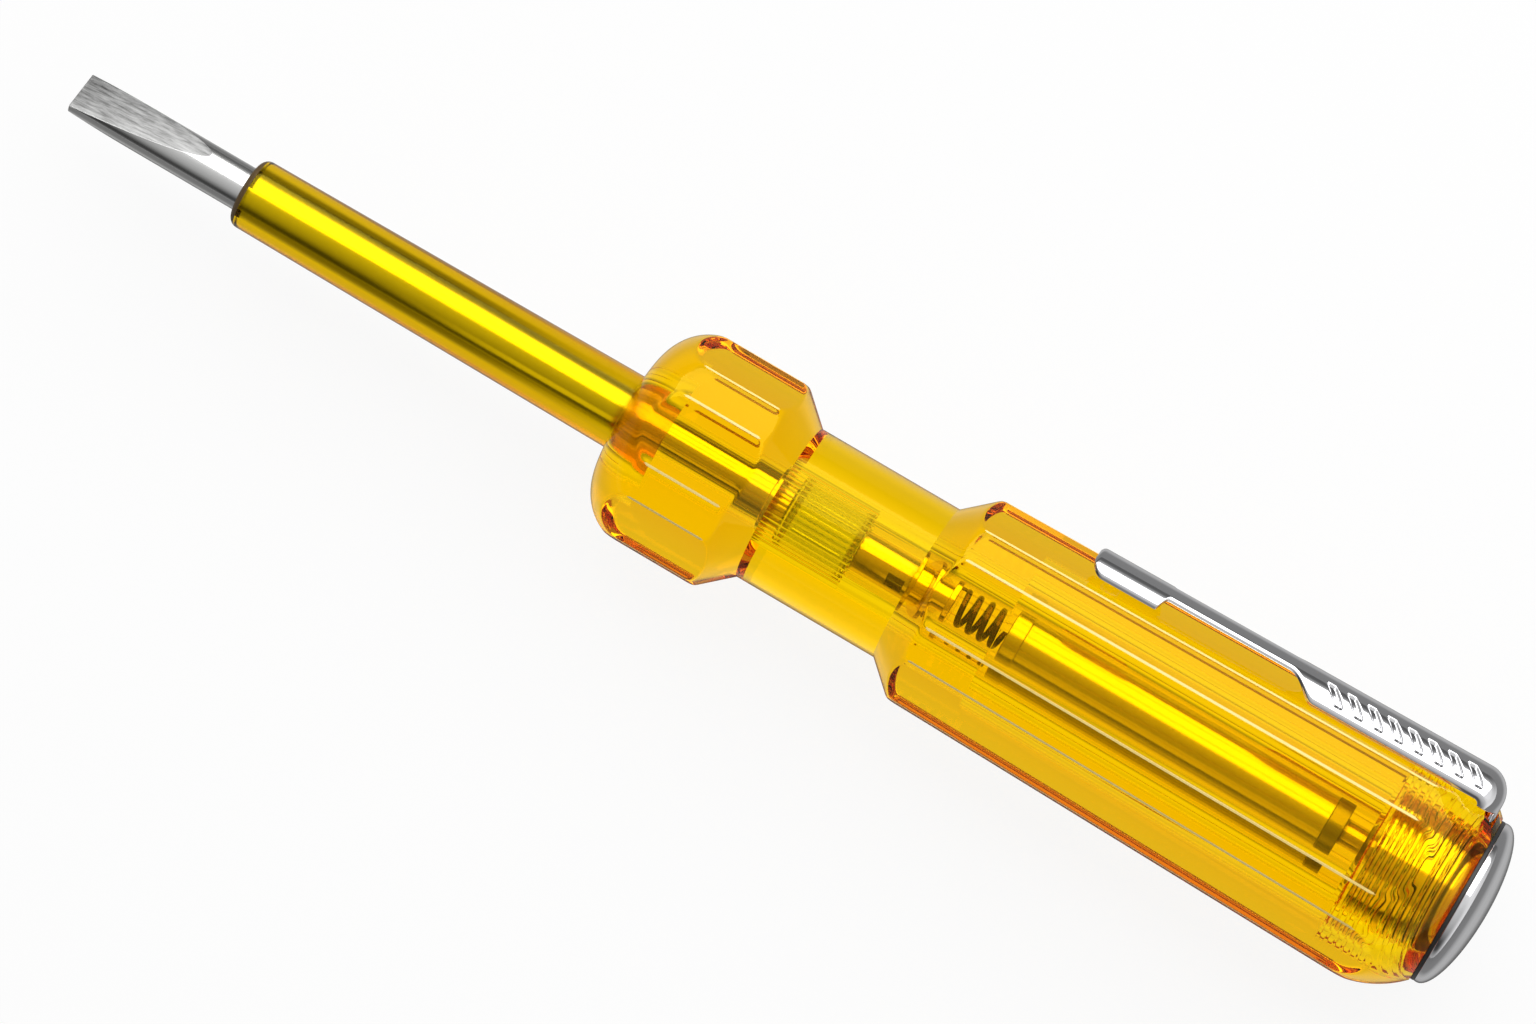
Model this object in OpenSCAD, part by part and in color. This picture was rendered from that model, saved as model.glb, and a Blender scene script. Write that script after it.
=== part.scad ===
// Voltage tester screwdriver: a steel blade in a clear faceted handle that holds a glow lamp,
// a contact spring, a series resistor, a threaded touch cap and a pocket clip.
// The tool lies along +X from the blade tip at the origin, with its axis on the X axis.
// One wide flat of the handle faces up, and the clip sits on the next wide flat towards +Y.

/* [Blade] */
// Diameter of the steel rod
blade_d = 3.8; // [3:0.1:4.2]
// Thickness of the tip between the ground flats
tip_t = 0.75; // [0.5:0.05:1.2]
// Length of the ground flats
grind_len = 12.1; // [8:0.1:16]
// Turn of the ground flats from level, towards the clip
grind_roll = 30; // [0:5:90]
// Bare round stretch between the flats and the sleeve
bare_len = 3.6; // [2:0.1:8]
// Hidden length of the rod behind the sunk end of the sleeve
rod_sunk = 9.5; // [7:0.1:10]
// Diameter of the collar pressed on the hidden end
collar_d = 4.85; // [4.6:0.05:4.95]
// Length of the collar
collar_len = 1.4; // [0.8:0.1:3]

/* [Sleeve] */
// Outer diameter of the sleeve at its front end
sleeve_front_d = 6.0; // [5:0.1:6.4]
// Outer diameter of the sleeve at the handle
sleeve_rear_d = 6.5; // [6:0.1:8]
// Length of sleeve that shows in front of the handle
sleeve_show = 35.8; // [20:0.1:60]
// Depth of the sleeve in the handle
sleeve_sunk = 4.0; // [3:0.1:5]
// Rounding of the front edge of the sleeve
sleeve_round = 0.8; // [0.3:0.1:1]

/* [Handle] */
// Radius of the flat front face of the knob
knob_face_r = 4.5; // [4:0.1:6]
// Length of the rounded front of the knob
knob_front_len = 4.6; // [4:0.1:6]
// Length of the full-size knob behind its rounded front
knob_len = 6.0; // [4:0.1:10]
// Radius to the ridges of the knob
knob_ridge_r = 9.3; // [8.5:0.05:10.5]
// Diameter of the round neck
neck_d = 13.6; // [12:0.1:15]
// Length of the neck
neck_len = 12.7; // [12:0.1:13.5]
// Rounding of the shoulders on both sides of the neck
shoulder_round = 1.6; // [0.8:0.1:2.5]
// Slope of the shoulders
shoulder_angle = 42; // [35:1:55]
// Radius to the ridges at the front of the grip
grip_front_r = 9.25; // [8.5:0.05:9.6]
// Radius to the ridges at the rear of the grip
grip_rear_r = 10.0; // [9.8:0.05:11]
// Length of the faceted grip
grip_len = 39.7; // [39:0.1:46]
// Length of the rounded rear end
end_len = 6.3; // [5.5:0.1:6.8]
// Radius of the rear rounding
end_round = 8.7; // [8.2:0.1:9.2]
// Angle that each wide flat covers
flat_angle = 39.5; // [34:0.5:46]

/* [Lamp] */
// Diameter of the lamp bore in the neck
lamp_bore_d = 5.0; // [4.9:0.05:5.4]
// Outer diameter of the lamp glass
glass_d = 4.7; // [4.2:0.05:4.8]
// Length of the lamp glass between its caps
glass_len = 6.4; // [5:0.1:7]
// Wall of the lamp glass
glass_wall = 0.3; // [0.2:0.05:0.5]
// Length of each sealed end of the glass
seal_len = 1.2; // [0.8:0.1:2]
// Diameter of the sealed ends
seal_d = 2.9; // [2.5:0.1:3.2]
// Wall of the lamp caps
lamp_cap_wall = 0.25; // [0.2:0.05:0.4]
// Floor of the lamp caps
lamp_cap_floor = 0.4; // [0.3:0.1:0.8]
// Length of the rear cap
rear_cap_len = 5.4; // [4:0.1:6]
// Length of the slot in the rear cap
rear_slot_len = 1.5; // [0.8:0.1:2.5]
// Width of the slot in the rear cap
rear_slot_w = 1.0; // [0.5:0.1:1.6]
// Turn of the slot from straight up, away from the clip
rear_slot_roll = 30; // [0:5:90]
// Diameter of the electrodes
electrode_d = 0.7; // [0.4:0.05:0.9]
// Length of the electrodes
electrode_len = 4.4; // [3:0.1:5]
// Distance between the electrodes, centre to centre
electrode_gap = 1.7; // [1.4:0.05:1.8]
// Diameter of the lead wires
lead_d = 0.3; // [0.2:0.05:0.4]

/* [Contacts] */
// Diameter of the bore for the ring, nipple and spring
spring_bore_d = 5.9; // [5.7:0.1:6.2]
// Length of the retaining ring
ring_len = 1.3; // [0.8:0.1:1.5]
// Hole through the retaining ring
ring_hole_d = 2.4; // [2:0.1:3]
// Diameter of the nipple behind the ring
nipple_d = 3.7; // [3.2:0.1:4.2]
// Length of the nipple between the ring and its flange
nipple_len = 1.7; // [1:0.1:2.5]
// Diameter of the spring seat on the nipple
seat_d = 5.5; // [5.2:0.1:5.6]
// Thickness of the spring seat
seat_t = 0.5; // [0.4:0.1:0.8]
// Length of the contact spring with the cap screwed home
spring_len = 4.9; // [4.7:0.1:5.6]
// Wire of the contact spring
spring_wire = 0.5; // [0.35:0.05:0.55]
// Outer diameter of the first turn of the spring
spring_front_d = 4.8; // [4.2:0.1:5]
// Outer diameter of the last turn of the spring
spring_rear_d = 5.1; // [4.6:0.1:5.4]
// Turns of the spring
spring_turns = 3.75; // [2.5:0.25:3.75]

/* [Resistor] */
// Length of the resistor over its caps
resistor_len = 30.5; // [28:0.1:31]
// Diameter of the resistor body
resistor_d = 6.6; // [5.8:0.1:6.8]
// Length of the resistor caps
resistor_cap_len = 1.4; // [1:0.1:2.5]
// Wall of the resistor caps
resistor_cap_wall = 0.25; // [0.2:0.05:0.4]
// Step of the caps above the resistor body, on the radius
resistor_cap_step = 0.1; // [0.05:0.05:0.2]

/* [Touch cap] */
// Diameter of the plug over its thread
thread_d = 11.1; // [10.4:0.1:11.5]
// Depth of the thread
thread_depth = 0.45; // [0.35:0.05:0.5]
// Pitch of the thread
thread_pitch = 0.7; // [0.7:0.05:0.8]
// Length of the threaded stretch of the plug
thread_len = 5.5; // [4.5:0.1:6]
// Diameter of the smooth band behind the thread
band_d = 10.0; // [9:0.1:10]
// Length of the smooth band
band_len = 1.9; // [1.5:0.1:2.5]
// Diameter of the contact nose
nose_d = 3.3; // [2.8:0.1:4]
// Length of the nose from the resistor to the plug
nose_len = 2.8; // [2.4:0.1:3.4]
// Diameter of the stem that holds the nose in the plug
nose_stem_d = 2.6; // [2:0.1:3]
// Length of the stem that holds the nose in the plug
nose_stem_len = 2.2; // [1.5:0.1:3]
// Width and height of the groove round the nose
nose_groove = 0.4; // [0.3:0.05:0.6]
// Thickness of the sealing washer
washer_t = 0.35; // [0.25:0.05:0.6]
// Diameter of the touch cap
dome_d = 14.4; // [13:0.1:14.6]
// Height of the dome above its rim
dome_h = 2.1; // [1.5:0.1:3]
// Height of the straight rim of the dome
dome_rim = 0.25; // [0.15:0.05:0.5]
// Diameter of the tail of the plug in the dome
tail_d = 6.0; // [5:0.1:7]
// Length of the tail of the plug in the dome
tail_len = 1.2; // [0.8:0.1:1.3]

/* [Pocket clip] */
// Overall length of the clip
clip_len = 37.2; // [34:0.1:40]
// Thickness of the clip sheet
clip_sheet = 0.5; // [0.4:0.05:0.6]
// Outer radius of the arched section of the clip
clip_arch_r = 3.0; // [2.8:0.1:3.4]
// Height of the clip's crest above the flat
clip_crest = 1.95; // [1.9:0.05:2.4]
// Half of the angle that the arch covers at its widest
clip_half_angle = 63; // [55:1:66]
// Distance from the clip's rear face to the end of the handle
clip_setback = 0.6; // [0.5:0.05:0.9]
// Outer radius of the rear bend
clip_bend_r = 2.2; // [2.1:0.05:2.3]
// Length of the head
head_len = 6.7; // [5:0.1:8]
// Width of the head
head_w = 4.6; // [4:0.1:5]
// Corner rounding of the head
head_round = 1.3; // [0.6:0.1:1.6]
// Length of the narrow arm
arm_len = 10.8; // [8:0.1:12]
// Width of the narrow arm
arm_w = 2.5; // [2.2:0.1:3.4]
// Length of the slanted step in front of the tail
tail_step = 2.9; // [1:0.1:3.5]
// Length of the slanted step behind the head
head_step = 0.7; // [0.3:0.1:1]
// Width of the foot in the handle slot
foot_w = 2.4; // [2:0.1:2.8]
// Depth of the foot below the rear bend
foot_len = 2.95; // [2.6:0.05:3]
// Radius of the dimple under the head
dimple_r = 0.85; // [0.75:0.05:0.85]
// Distance of the dimple from the front of the head
dimple_back = 2.1; // [1.8:0.1:4]
// Slanted grooves on each side of the tail
groove_count = 8; // [4:1:8]
// Distance between grooves
groove_pitch = 1.8; // [1.5:0.05:1.85]
// Width of each groove
groove_w = 0.55; // [0.3:0.05:0.7]
// Depth of each groove
groove_depth = 0.15; // [0.1:0.01:0.2]
// Slant of the grooves from straight across
groove_slant = 42; // [20:1:50]
// Length of each groove
groove_len = 3.3; // [2.5:0.1:3.5]

/* [Fits] */
// Gap round pieces that are pressed or moulded in
press_gap = 0.03; // [0.02:0.01:0.05]
// Gap round the lamp and contacts in their bores
seat_gap = 0.05; // [0.04:0.01:0.1]
// Gap round the sliding resistor in its bore
slide_gap = 0.45; // [0.1:0.05:0.5]
// Gap on the radius of the thread
thread_gap = 0.15; // [0.13:0.01:0.16]
// Gap on each side of the thread crests
thread_play = 0.06; // [0.05:0.01:0.08]
// Room round the plug's band in the mouth of the handle
mouth_gap = 0.8; // [0.7:0.05:0.9]
// Gap round the foot of the clip in its slot
foot_gap = 0.13; // [0.1:0.01:0.16]
// Gap under the dimple of the clip
dimple_gap = 0.06; // [0.04:0.01:0.15]
// Room for the spring in front of the resistor bore
bore_lead = 0.6; // [0.4:0.1:1]
// Room between the end of the resistor and the widening of its bore
tap_lead = 0.3; // [0.2:0.1:0.8]
// Room between the plug and the end of the tapped hole
tap_run = 0.5; // [0.3:0.1:1]

/* [Hidden] */
$fn = 96;

// Radii
ridge_margin = 0.04;
knob_turn_r = knob_ridge_r + ridge_margin;
grip_turn_r = grip_front_r + ridge_margin;
rear_turn_r = grip_rear_r + ridge_margin;
neck_r = neck_d / 2;
blade_r = blade_d / 2;
seal_r = seal_d / 2;
cap_outer_r = seal_r + seat_gap + lamp_cap_wall;
resistor_cap_r = resistor_d / 2 + resistor_cap_step;
resistor_bore_r = resistor_cap_r + slide_gap;
cup_r = resistor_cap_r - resistor_cap_wall;
thread_r = thread_d / 2;
root_r = thread_r - thread_depth;
mouth_r = band_d / 2 + mouth_gap;

// Flats of the handle: the half angles that wide and narrow flats cover
flat_count = 6;
flat_step = 360 / flat_count;
wide_half = flat_angle / 2;
narrow_half = flat_step / 2 - wide_half;
clip_roll = -flat_step;
cut = 1;
cut_size = 3 * rear_turn_r;

// Places along the tool
sleeve_x = grind_len + bare_len;
handle_x = sleeve_x + sleeve_show;
sleeve_end = handle_x + sleeve_sunk;
rod_end = sleeve_end + rod_sunk;
collar_x = rod_end - collar_len;
knob_end = handle_x + knob_front_len + knob_len;
neck_x = knob_end + shoulder_len(knob_turn_r);
neck_end = neck_x + neck_len;
grip_x = neck_end + shoulder_len(grip_turn_r);
grip_end = grip_x + grip_len;
handle_end = grip_end + end_len;
mid_neck = neck_x + neck_len / 2;

// Places of the lamp and the contacts
front_cap_x = rod_end;
glass_front = front_cap_x + lamp_cap_floor;
bulb_x = glass_front + seal_len;
bulb_end = bulb_x + glass_len;
rear_seal_end = bulb_end + seal_len;
rear_cap_x = bulb_end;
rear_cap_end = rear_cap_x + rear_cap_len;
rear_lead_end = rear_cap_end - lamp_cap_floor;
ring_x = rear_cap_end;
ring_end = ring_x + ring_len;
seat_x = ring_end + nipple_len;
spring_x = seat_x + seat_t;
resistor_x = spring_x + spring_len;
resistor_end = resistor_x + resistor_len;
resistor_bore_x = resistor_x - bore_lead;
plug_x = resistor_end + nose_len;
cone_x = resistor_end + tap_lead;
tap_x = plug_x - tap_run;
thread_end = plug_x + thread_len;
band_end = handle_end + washer_t;
mouth_x = handle_end - band_len + press_gap;

// Clip placed on its flat, with its rear face at clip_x
clip_x = handle_end - clip_setback;
clip_tilt = flat_tilt(wide_half);
clip_axis_h = clip_crest - clip_arch_r;
bend_centre_h = clip_crest - clip_bend_r;
foot_sag = clip_arch_r - sqrt(clip_arch_r * clip_arch_r - foot_w * foot_w / 4);
tail_w = 2 * clip_arch_r + cut;
groove_first = -clip_bend_r - groove_w;

// Thread: rows of points round the rod, and turns cut past each end
thread_columns = 24;
thread_flank = 0.17;
thread_crest_w = 0.16;
spare_turns = 2;

// Spring: rings of the wire for each turn, and sides of the wire
turn_rings = 8;
wire_sides = 6;

// Run of a shoulder from the neck up to a turned radius
function shoulder_len(r) = shoulder_round * sin(shoulder_angle)
    + (r - shoulder_round * (1 - cos(shoulder_angle)) - neck_r) / tan(shoulder_angle);

// Radius to the ridges of the tapered grip at x
function ridge_r(x) = grip_front_r + (grip_rear_r - grip_front_r) * (x - grip_x) / grip_len;

// Tilt of a grip flat that covers the given half angle
function flat_tilt(half) = atan((grip_rear_r - grip_front_r) * cos(half) / grip_len);

// Points on an elliptic arc
function arc(cx, cy, rx, ry, a0, a1, steps = 12) =
    [for (i = [0:steps]) let (a = a0 + (a1 - a0) * i / steps) [cx + rx * cos(a), cy + ry * sin(a)]];

// A solid turned about the X axis from points of [place along X, radius]
module turned(points) {
    rotate([0, 90, 0]) rotate_extrude() polygon([for (p = points) [p[1], p[0]]]);
}

// A round rod along X
module rod(x0, x1, d) {
    translate([x0, 0, 0]) rotate([0, 90, 0]) cylinder(d = d, h = x1 - x0);
}

// Material outside the flats of the knob, as one ring to cut away
module knob_surround() {
    length = mid_neck - handle_x + cut;
    ridges = [for (i = [0:flat_count - 1]) for (side = [-1, 1]) i * flat_step + side * wide_half];
    translate([handle_x - cut, 0, 0]) rotate([90, 0, 90]) linear_extrude(length) difference() {
        circle(r = cut_size / 2);
        polygon([for (a = ridges) knob_ridge_r * [sin(a), cos(a)]]);
    }
}

// Material outside one set of flats of the tapered grip, as blocks to cut away
module grip_flats(roll, half) {
    for (i = [0:flat_count - 1])
        rotate([roll + i * flat_step, 0, 0])
            translate([mid_neck, -cut_size / 2, ridge_r(mid_neck) * cos(half)])
                rotate([0, -flat_tilt(half), 0])
                    cube([handle_end - mid_neck + cut, cut_size, cut_size]);
}

// The turned outline of the handle before its flats are cut
module handle_blank() {
    knob_top = arc(handle_x + knob_front_len, knob_face_r, knob_front_len, knob_turn_r - knob_face_r, 180, 90);
    knob_rear = arc(knob_end, knob_turn_r - shoulder_round, shoulder_round, shoulder_round,
        90, 90 - shoulder_angle, 6);
    grip_front = arc(grip_x, grip_turn_r - shoulder_round, shoulder_round, shoulder_round,
        90 + shoulder_angle, 90, 6);
    rear_round = arc(grip_end, rear_turn_r - end_round, end_round, end_round,
        90, acos(end_len / end_round));
    turned(concat([[handle_x, 0]], knob_top, knob_rear, [[neck_x, neck_r], [neck_end, neck_r]],
        grip_front, rear_round, [[handle_end, 0]]));
}

// A threaded rod from x0 to x1, with its crests in step along the whole tool
module threaded_rod(x0, x1, root, crest, crest_w) {
    turns = ceil((x1 - x0) / thread_pitch) + 2 * spare_turns;
    start = plug_x - thread_pitch * (ceil((plug_x - x0) / thread_pitch) + spare_turns);
    last = turns * thread_columns;
    base = (thread_pitch - crest_w) / 2 - thread_flank;
    offsets = [base, base + thread_flank, base + thread_flank + crest_w, base + 2 * thread_flank + crest_w];
    radii = [root, crest, crest, root];
    first_row = last + thread_columns + 1;
    function place(k, j) = let (a = 360 * k / thread_columns)
        [start + thread_pitch * k / thread_columns + offsets[j], radii[j] * cos(a), radii[j] * sin(a)];
    function at(k, j) = j == 4 ? k + thread_columns : j == 0 ? k : first_row + 3 * k + j - 1;
    centre = first_row + 3 * (last + 1);
    points = concat(
        [for (k = [0:last + thread_columns]) place(k, 0)],
        [for (k = [0:last]) for (j = [1:3]) place(k, j)],
        [[start + thread_pitch / 2, 0, 0], [start + thread_pitch * (turns + 0.5), 0, 0]]);
    sides = [for (k = [0:last - 1]) for (j = [0:3]) for (half = [0, 1])
        half == 0 ? [at(k, j), at(k + 1, j + 1), at(k + 1, j)] : [at(k, j), at(k, j + 1), at(k + 1, j + 1)]];
    front = concat(
        [for (k = [0:thread_columns - 1]) [centre, k, k + 1]],
        [for (j = [0:3]) [centre, at(0, j + 1), at(0, j)]]);
    rear = concat(
        [for (k = [last:last + thread_columns - 1]) [centre + 1, k + 1, k]],
        [for (j = [0:3]) [centre + 1, at(last, j), at(last, j + 1)]]);
    intersection() {
        polyhedron(points, concat(sides, front, rear));
        rod(x0, x1, 2 * (crest + cut));
    }
}

// Children placed with u along the clip's flat, v across it and w out of it
module on_clip_flat() {
    rotate([clip_roll, 0, 0])
        translate([clip_x, 0, ridge_r(clip_x) * cos(wide_half)])
            rotate([0, -clip_tilt, 0])
                children();
}

module handle() {
    color([1, 0.72, 0.05, 0.6]) difference() {
        handle_blank();
        knob_surround();
        grip_flats(0, wide_half);
        grip_flats(flat_step / 2, narrow_half);
        rod(handle_x - cut, sleeve_end, sleeve_rear_d + 2 * press_gap);
        rod(handle_x - cut, collar_x + cut / 2, blade_d + 2 * press_gap);
        rod(collar_x, ring_x + cut, lamp_bore_d);
        rod(ring_x, resistor_x, spring_bore_d);
        rod(resistor_bore_x, cone_x + cut, 2 * resistor_bore_r);
        turned([[cone_x, 0], [cone_x, resistor_bore_r], [tap_x, root_r], [tap_x + cut, root_r - cut], [tap_x + cut, 0]]);
        threaded_rod(tap_x, mouth_x + cut / 2, root_r + thread_gap, thread_r + thread_gap,
            thread_crest_w + 2 * thread_play);
        rod(mouth_x, handle_end + cut, 2 * mouth_r);
        clip_slot();
    }
}

module clip_slot() {
    depth = clip_sheet + foot_sag + 2 * foot_gap;
    height = foot_len + foot_gap + cut;
    on_clip_flat()
        translate([-clip_sheet - foot_sag - foot_gap, -foot_w / 2 - foot_gap, bend_centre_h - foot_len - foot_gap])
            cube([depth, foot_w + 2 * foot_gap, height]);
}

module blade() {
    grind_angle = atan((blade_r - tip_t / 2) / grind_len);
    color("silver") difference() {
        rod(0, rod_end, blade_d);
        for (side = [0, 180])
            rotate([side - grind_roll, 0, 0])
                translate([0, -blade_d, tip_t / 2])
                    rotate([0, -grind_angle, 0])
                        translate([-cut, 0, 0])
                            cube([grind_len + 2 * cut, 2 * blade_d, blade_d]);
    }
}

module blade_collar() {
    color("gray") difference() {
        rod(collar_x, rod_end, collar_d);
        rod(collar_x - cut, rod_end + cut, blade_d + 2 * press_gap);
    }
}

module blade_sleeve() {
    front_r = sleeve_front_d / 2;
    rear_r = sleeve_rear_d / 2;
    color([0.95, 0.72, 0.1, 0.7]) difference() {
        turned(concat(
            [[sleeve_x, 0]],
            arc(sleeve_x + sleeve_round, front_r - sleeve_round, sleeve_round, sleeve_round, 180, 90, 8),
            [[handle_x, rear_r], [sleeve_end, rear_r], [sleeve_end, 0]]));
        rod(sleeve_x - cut, sleeve_end + cut, blade_d + 2 * press_gap);
    }
}

module lamp_front_cap() {
    color("goldenrod") difference() {
        rod(front_cap_x, bulb_x, 2 * cap_outer_r);
        rod(glass_front, bulb_x + cut, seal_d + 2 * seat_gap);
    }
}

module lamp_glass() {
    inner_d = glass_d - 2 * glass_wall;
    color([0.9, 0.92, 0.9, 0.5]) difference() {
        union() {
            rod(glass_front, rear_seal_end, seal_d);
            rod(bulb_x, bulb_end, glass_d);
        }
        rod(bulb_x + glass_wall, bulb_end - glass_wall, inner_d);
        lead_hole(1, glass_front - cut, bulb_x + cut);
        lead_hole(-1, bulb_end - cut, rear_seal_end + cut);
    }
}

module lead_hole(side, x0, x1) {
    translate([0, side * electrode_gap / 2, 0]) rod(x0, x1, lead_d + 2 * press_gap);
}

// One electrode beside the axis, with its lead wire running out through a seal
module electrode(side, lead_x0, lead_x1) {
    electrode_x = bulb_x + (glass_len - electrode_len) / 2;
    color("lightgray") translate([0, side * electrode_gap / 2, 0]) {
        rod(electrode_x, electrode_x + electrode_len, electrode_d);
        rod(lead_x0, lead_x1, lead_d);
    }
}

module lamp_front_electrode() {
    electrode(1, glass_front, bulb_x + glass_len / 2);
}

module lamp_rear_electrode() {
    electrode(-1, bulb_x + glass_len / 2, rear_lead_end);
}

module lamp_rear_cap() {
    slot_x = rear_lead_end - lamp_cap_floor - rear_slot_len;
    color("goldenrod") difference() {
        rod(rear_cap_x, rear_cap_end, 2 * cap_outer_r);
        rod(rear_cap_x - cut, rear_lead_end, seal_d + 2 * seat_gap);
        rotate([rear_slot_roll, 0, 0])
            translate([slot_x, -rear_slot_w / 2, 0]) cube([rear_slot_len, rear_slot_w, cap_outer_r + cut]);
    }
}

module lamp_ring() {
    color("goldenrod") difference() {
        rod(ring_x, ring_end, spring_bore_d - 2 * seat_gap);
        rod(ring_x - cut, ring_end + cut, ring_hole_d);
    }
}

module contact_nipple() {
    color("gold") {
        rod(ring_x, seat_x, ring_hole_d - 2 * seat_gap);
        rod(ring_end, spring_x, nipple_d);
        rod(seat_x, spring_x, seat_d);
    }
}

// Middle of the spring wire: a straight stub square to each seat, with a widening helix between
function spring_r(t) = (spring_front_d + (spring_rear_d - spring_front_d) * t - spring_wire) / 2;
function spring_point(t) = let (a = 360 * spring_turns * t)
    [spring_x + spring_wire + (spring_len - 2 * spring_wire) * t, spring_r(t) * cos(a), spring_r(t) * sin(a)];
spring_rings = round(spring_turns * turn_rings);
spring_path = concat(
    [spring_point(0) - [spring_wire, 0, 0]],
    [for (i = [0:spring_rings]) spring_point(i / spring_rings)],
    [spring_point(1) + [spring_wire, 0, 0]]);

// Least gap between turns, measured between points half a turn or more apart
spring_gap = min([for (i = [0:len(spring_path) - 1]) for (j = [i + turn_rings / 2:1:len(spring_path) - 1])
    norm(spring_path[i] - spring_path[j])]) - spring_wire;

function unit(v) = v / norm(v);
function wire_ring(path, i) =
    let (ahead = path[min(i + 1, len(path) - 1)] - path[max(i - 1, 0)])
    let (run = unit(ahead))
    let (out = [0, path[i][1], path[i][2]])
    let (side = unit(out - (out * run) * run))
    let (up = cross(run, side))
    [for (s = [0:wire_sides - 1]) let (a = 360 * s / wire_sides)
        path[i] + spring_wire / 2 * (cos(a) * side + sin(a) * up)];

module contact_spring() {
    echo("least gap between turns of the contact spring, mm", spring_gap);
    count = len(spring_path);
    points = [for (i = [0:count - 1]) each wire_ring(spring_path, i)];
    sides = [for (i = [0:count - 2]) for (s = [0:wire_sides - 1]) for (half = [0, 1])
        let (a = i * wire_sides + s)
        let (b = i * wire_sides + (s + 1) % wire_sides)
        half == 0 ? [a, a + wire_sides, b] : [b, a + wire_sides, b + wire_sides]];
    front = [for (s = [1:wire_sides - 2]) [0, s, s + 1]];
    rear = [for (s = [1:wire_sides - 2]) (count - 1) * wire_sides * [1, 1, 1] + [0, s + 1, s]];
    color("peru") polyhedron(points, concat(sides, front, rear));
}

// A cup over one end of the resistor, with its floor towards +X or -X
module resistor_cup(floor_x, towards) {
    floor_end = floor_x + towards * resistor_cap_wall;
    mouth = floor_x + towards * resistor_cap_len;
    color("gray") difference() {
        rod(min(floor_x, mouth), max(floor_x, mouth), 2 * resistor_cap_r);
        rod(min(floor_end, mouth + towards * cut), max(floor_end, mouth + towards * cut), 2 * cup_r);
    }
}

module resistor_front_cap() {
    resistor_cup(resistor_x, 1);
}

module resistor_rear_cap() {
    resistor_cup(resistor_end, -1);
}

module resistor_body() {
    color("darkkhaki") {
        rod(resistor_x + resistor_cap_wall, resistor_end - resistor_cap_wall, 2 * (cup_r - press_gap));
        rod(resistor_x + resistor_cap_len, resistor_end - resistor_cap_len, resistor_d);
    }
}

module plug_nose() {
    groove_x = plug_x - 2 * nose_groove;
    color("goldenrod") difference() {
        union() {
            rod(resistor_end, plug_x, nose_d);
            rod(plug_x - nose_groove, plug_x, nose_d + nose_groove);
            rod(plug_x - cut / 2, plug_x + nose_stem_len, nose_stem_d);
        }
        difference() {
            rod(groove_x, groove_x + nose_groove, nose_d + cut);
            rod(groove_x - cut, groove_x + nose_groove + cut, nose_d - 2 * nose_groove);
        }
    }
}

module end_plug() {
    color("gold") difference() {
        union() {
            threaded_rod(plug_x, thread_end, root_r, thread_r, thread_crest_w);
            rod(thread_end - cut, band_end, band_d);
            rod(thread_end, band_end + tail_len, tail_d);
        }
        rod(plug_x - cut, plug_x + nose_stem_len + press_gap, nose_stem_d + 2 * press_gap);
    }
}

module cap_washer() {
    color([0.06, 0.06, 0.06]) difference() {
        rod(handle_end, band_end, dome_d);
        rod(handle_end - cut, band_end + cut, band_d + 2 * seat_gap);
    }
}

module cap_dome() {
    color("whitesmoke") difference() {
        turned(concat(
            [[band_end, 0], [band_end, dome_d / 2]],
            arc(band_end + dome_rim, 0, dome_h, dome_d / 2, 90, 0)));
        rod(band_end - cut, band_end + tail_len + press_gap, tail_d + 2 * press_gap);
    }
}

// The arched section of the clip, with its crest up, covering the given half angle
module clip_arch(half) {
    reach = 2 * clip_arch_r;
    intersection() {
        difference() {
            circle(r = clip_arch_r);
            circle(r = clip_arch_r - clip_sheet);
        }
        polygon([[0, 0], [reach * sin(half), reach * cos(half)], [reach * sin(half), 2 * reach],
            [-reach * sin(half), 2 * reach], [-reach * sin(half), reach * cos(half)]]);
    }
}

// The clip seen from above: rounded head, slanted step, narrow arm, slanted step and full-width tail
module clip_plan() {
    arm_x = -clip_len + head_len;
    tail_x = arm_x + arm_len;
    difference() {
        translate([-clip_len, -head_w / 2]) square([head_len, head_w]);
        for (side = [-1, 1])
            translate([-clip_len, side * head_w / 2]) corner_cut(side);
        for (side = [-1, 1])
            polygon([[arm_x - head_step, side * head_w], [arm_x - head_step, side * head_w / 2],
                [arm_x, side * arm_w / 2], [arm_x, side * head_w]]);
    }
    translate([arm_x - head_step, -arm_w / 2]) square([arm_len + head_step + tail_step, arm_w]);
    polygon([[tail_x, -arm_w / 2], [tail_x + tail_step, -tail_w / 2], [0, -tail_w / 2], [0, tail_w / 2],
        [tail_x + tail_step, tail_w / 2], [tail_x, arm_w / 2]]);
}

// What rounding takes off one front corner of the head
module corner_cut(side) {
    difference() {
        translate([-cut, side > 0 ? -head_round : -cut]) square([head_round + cut, head_round + cut]);
        translate([head_round, -side * head_round]) circle(r = head_round);
    }
}

module clip_strip() {
    intersection() {
        translate([-clip_len, 0, clip_axis_h])
            rotate([90, 0, 90]) linear_extrude(clip_len - clip_bend_r) clip_arch(clip_half_angle);
        linear_extrude(clip_crest + cut) clip_plan();
    }
}

// The strip's section turned down through a quarter circle
module clip_bend() {
    translate([-clip_bend_r, 0, bend_centre_h])
        rotate([0, -90, -90])
            rotate_extrude(angle = 90)
                translate([clip_bend_r - clip_arch_r, 0]) rotate(-90) clip_arch(clip_half_angle);
}

module clip_foot() {
    foot_half = asin(foot_w / 2 / clip_arch_r);
    translate([-clip_arch_r, 0, bend_centre_h - foot_len])
        rotate(-90) linear_extrude(foot_len) clip_arch(foot_half);
}

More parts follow.
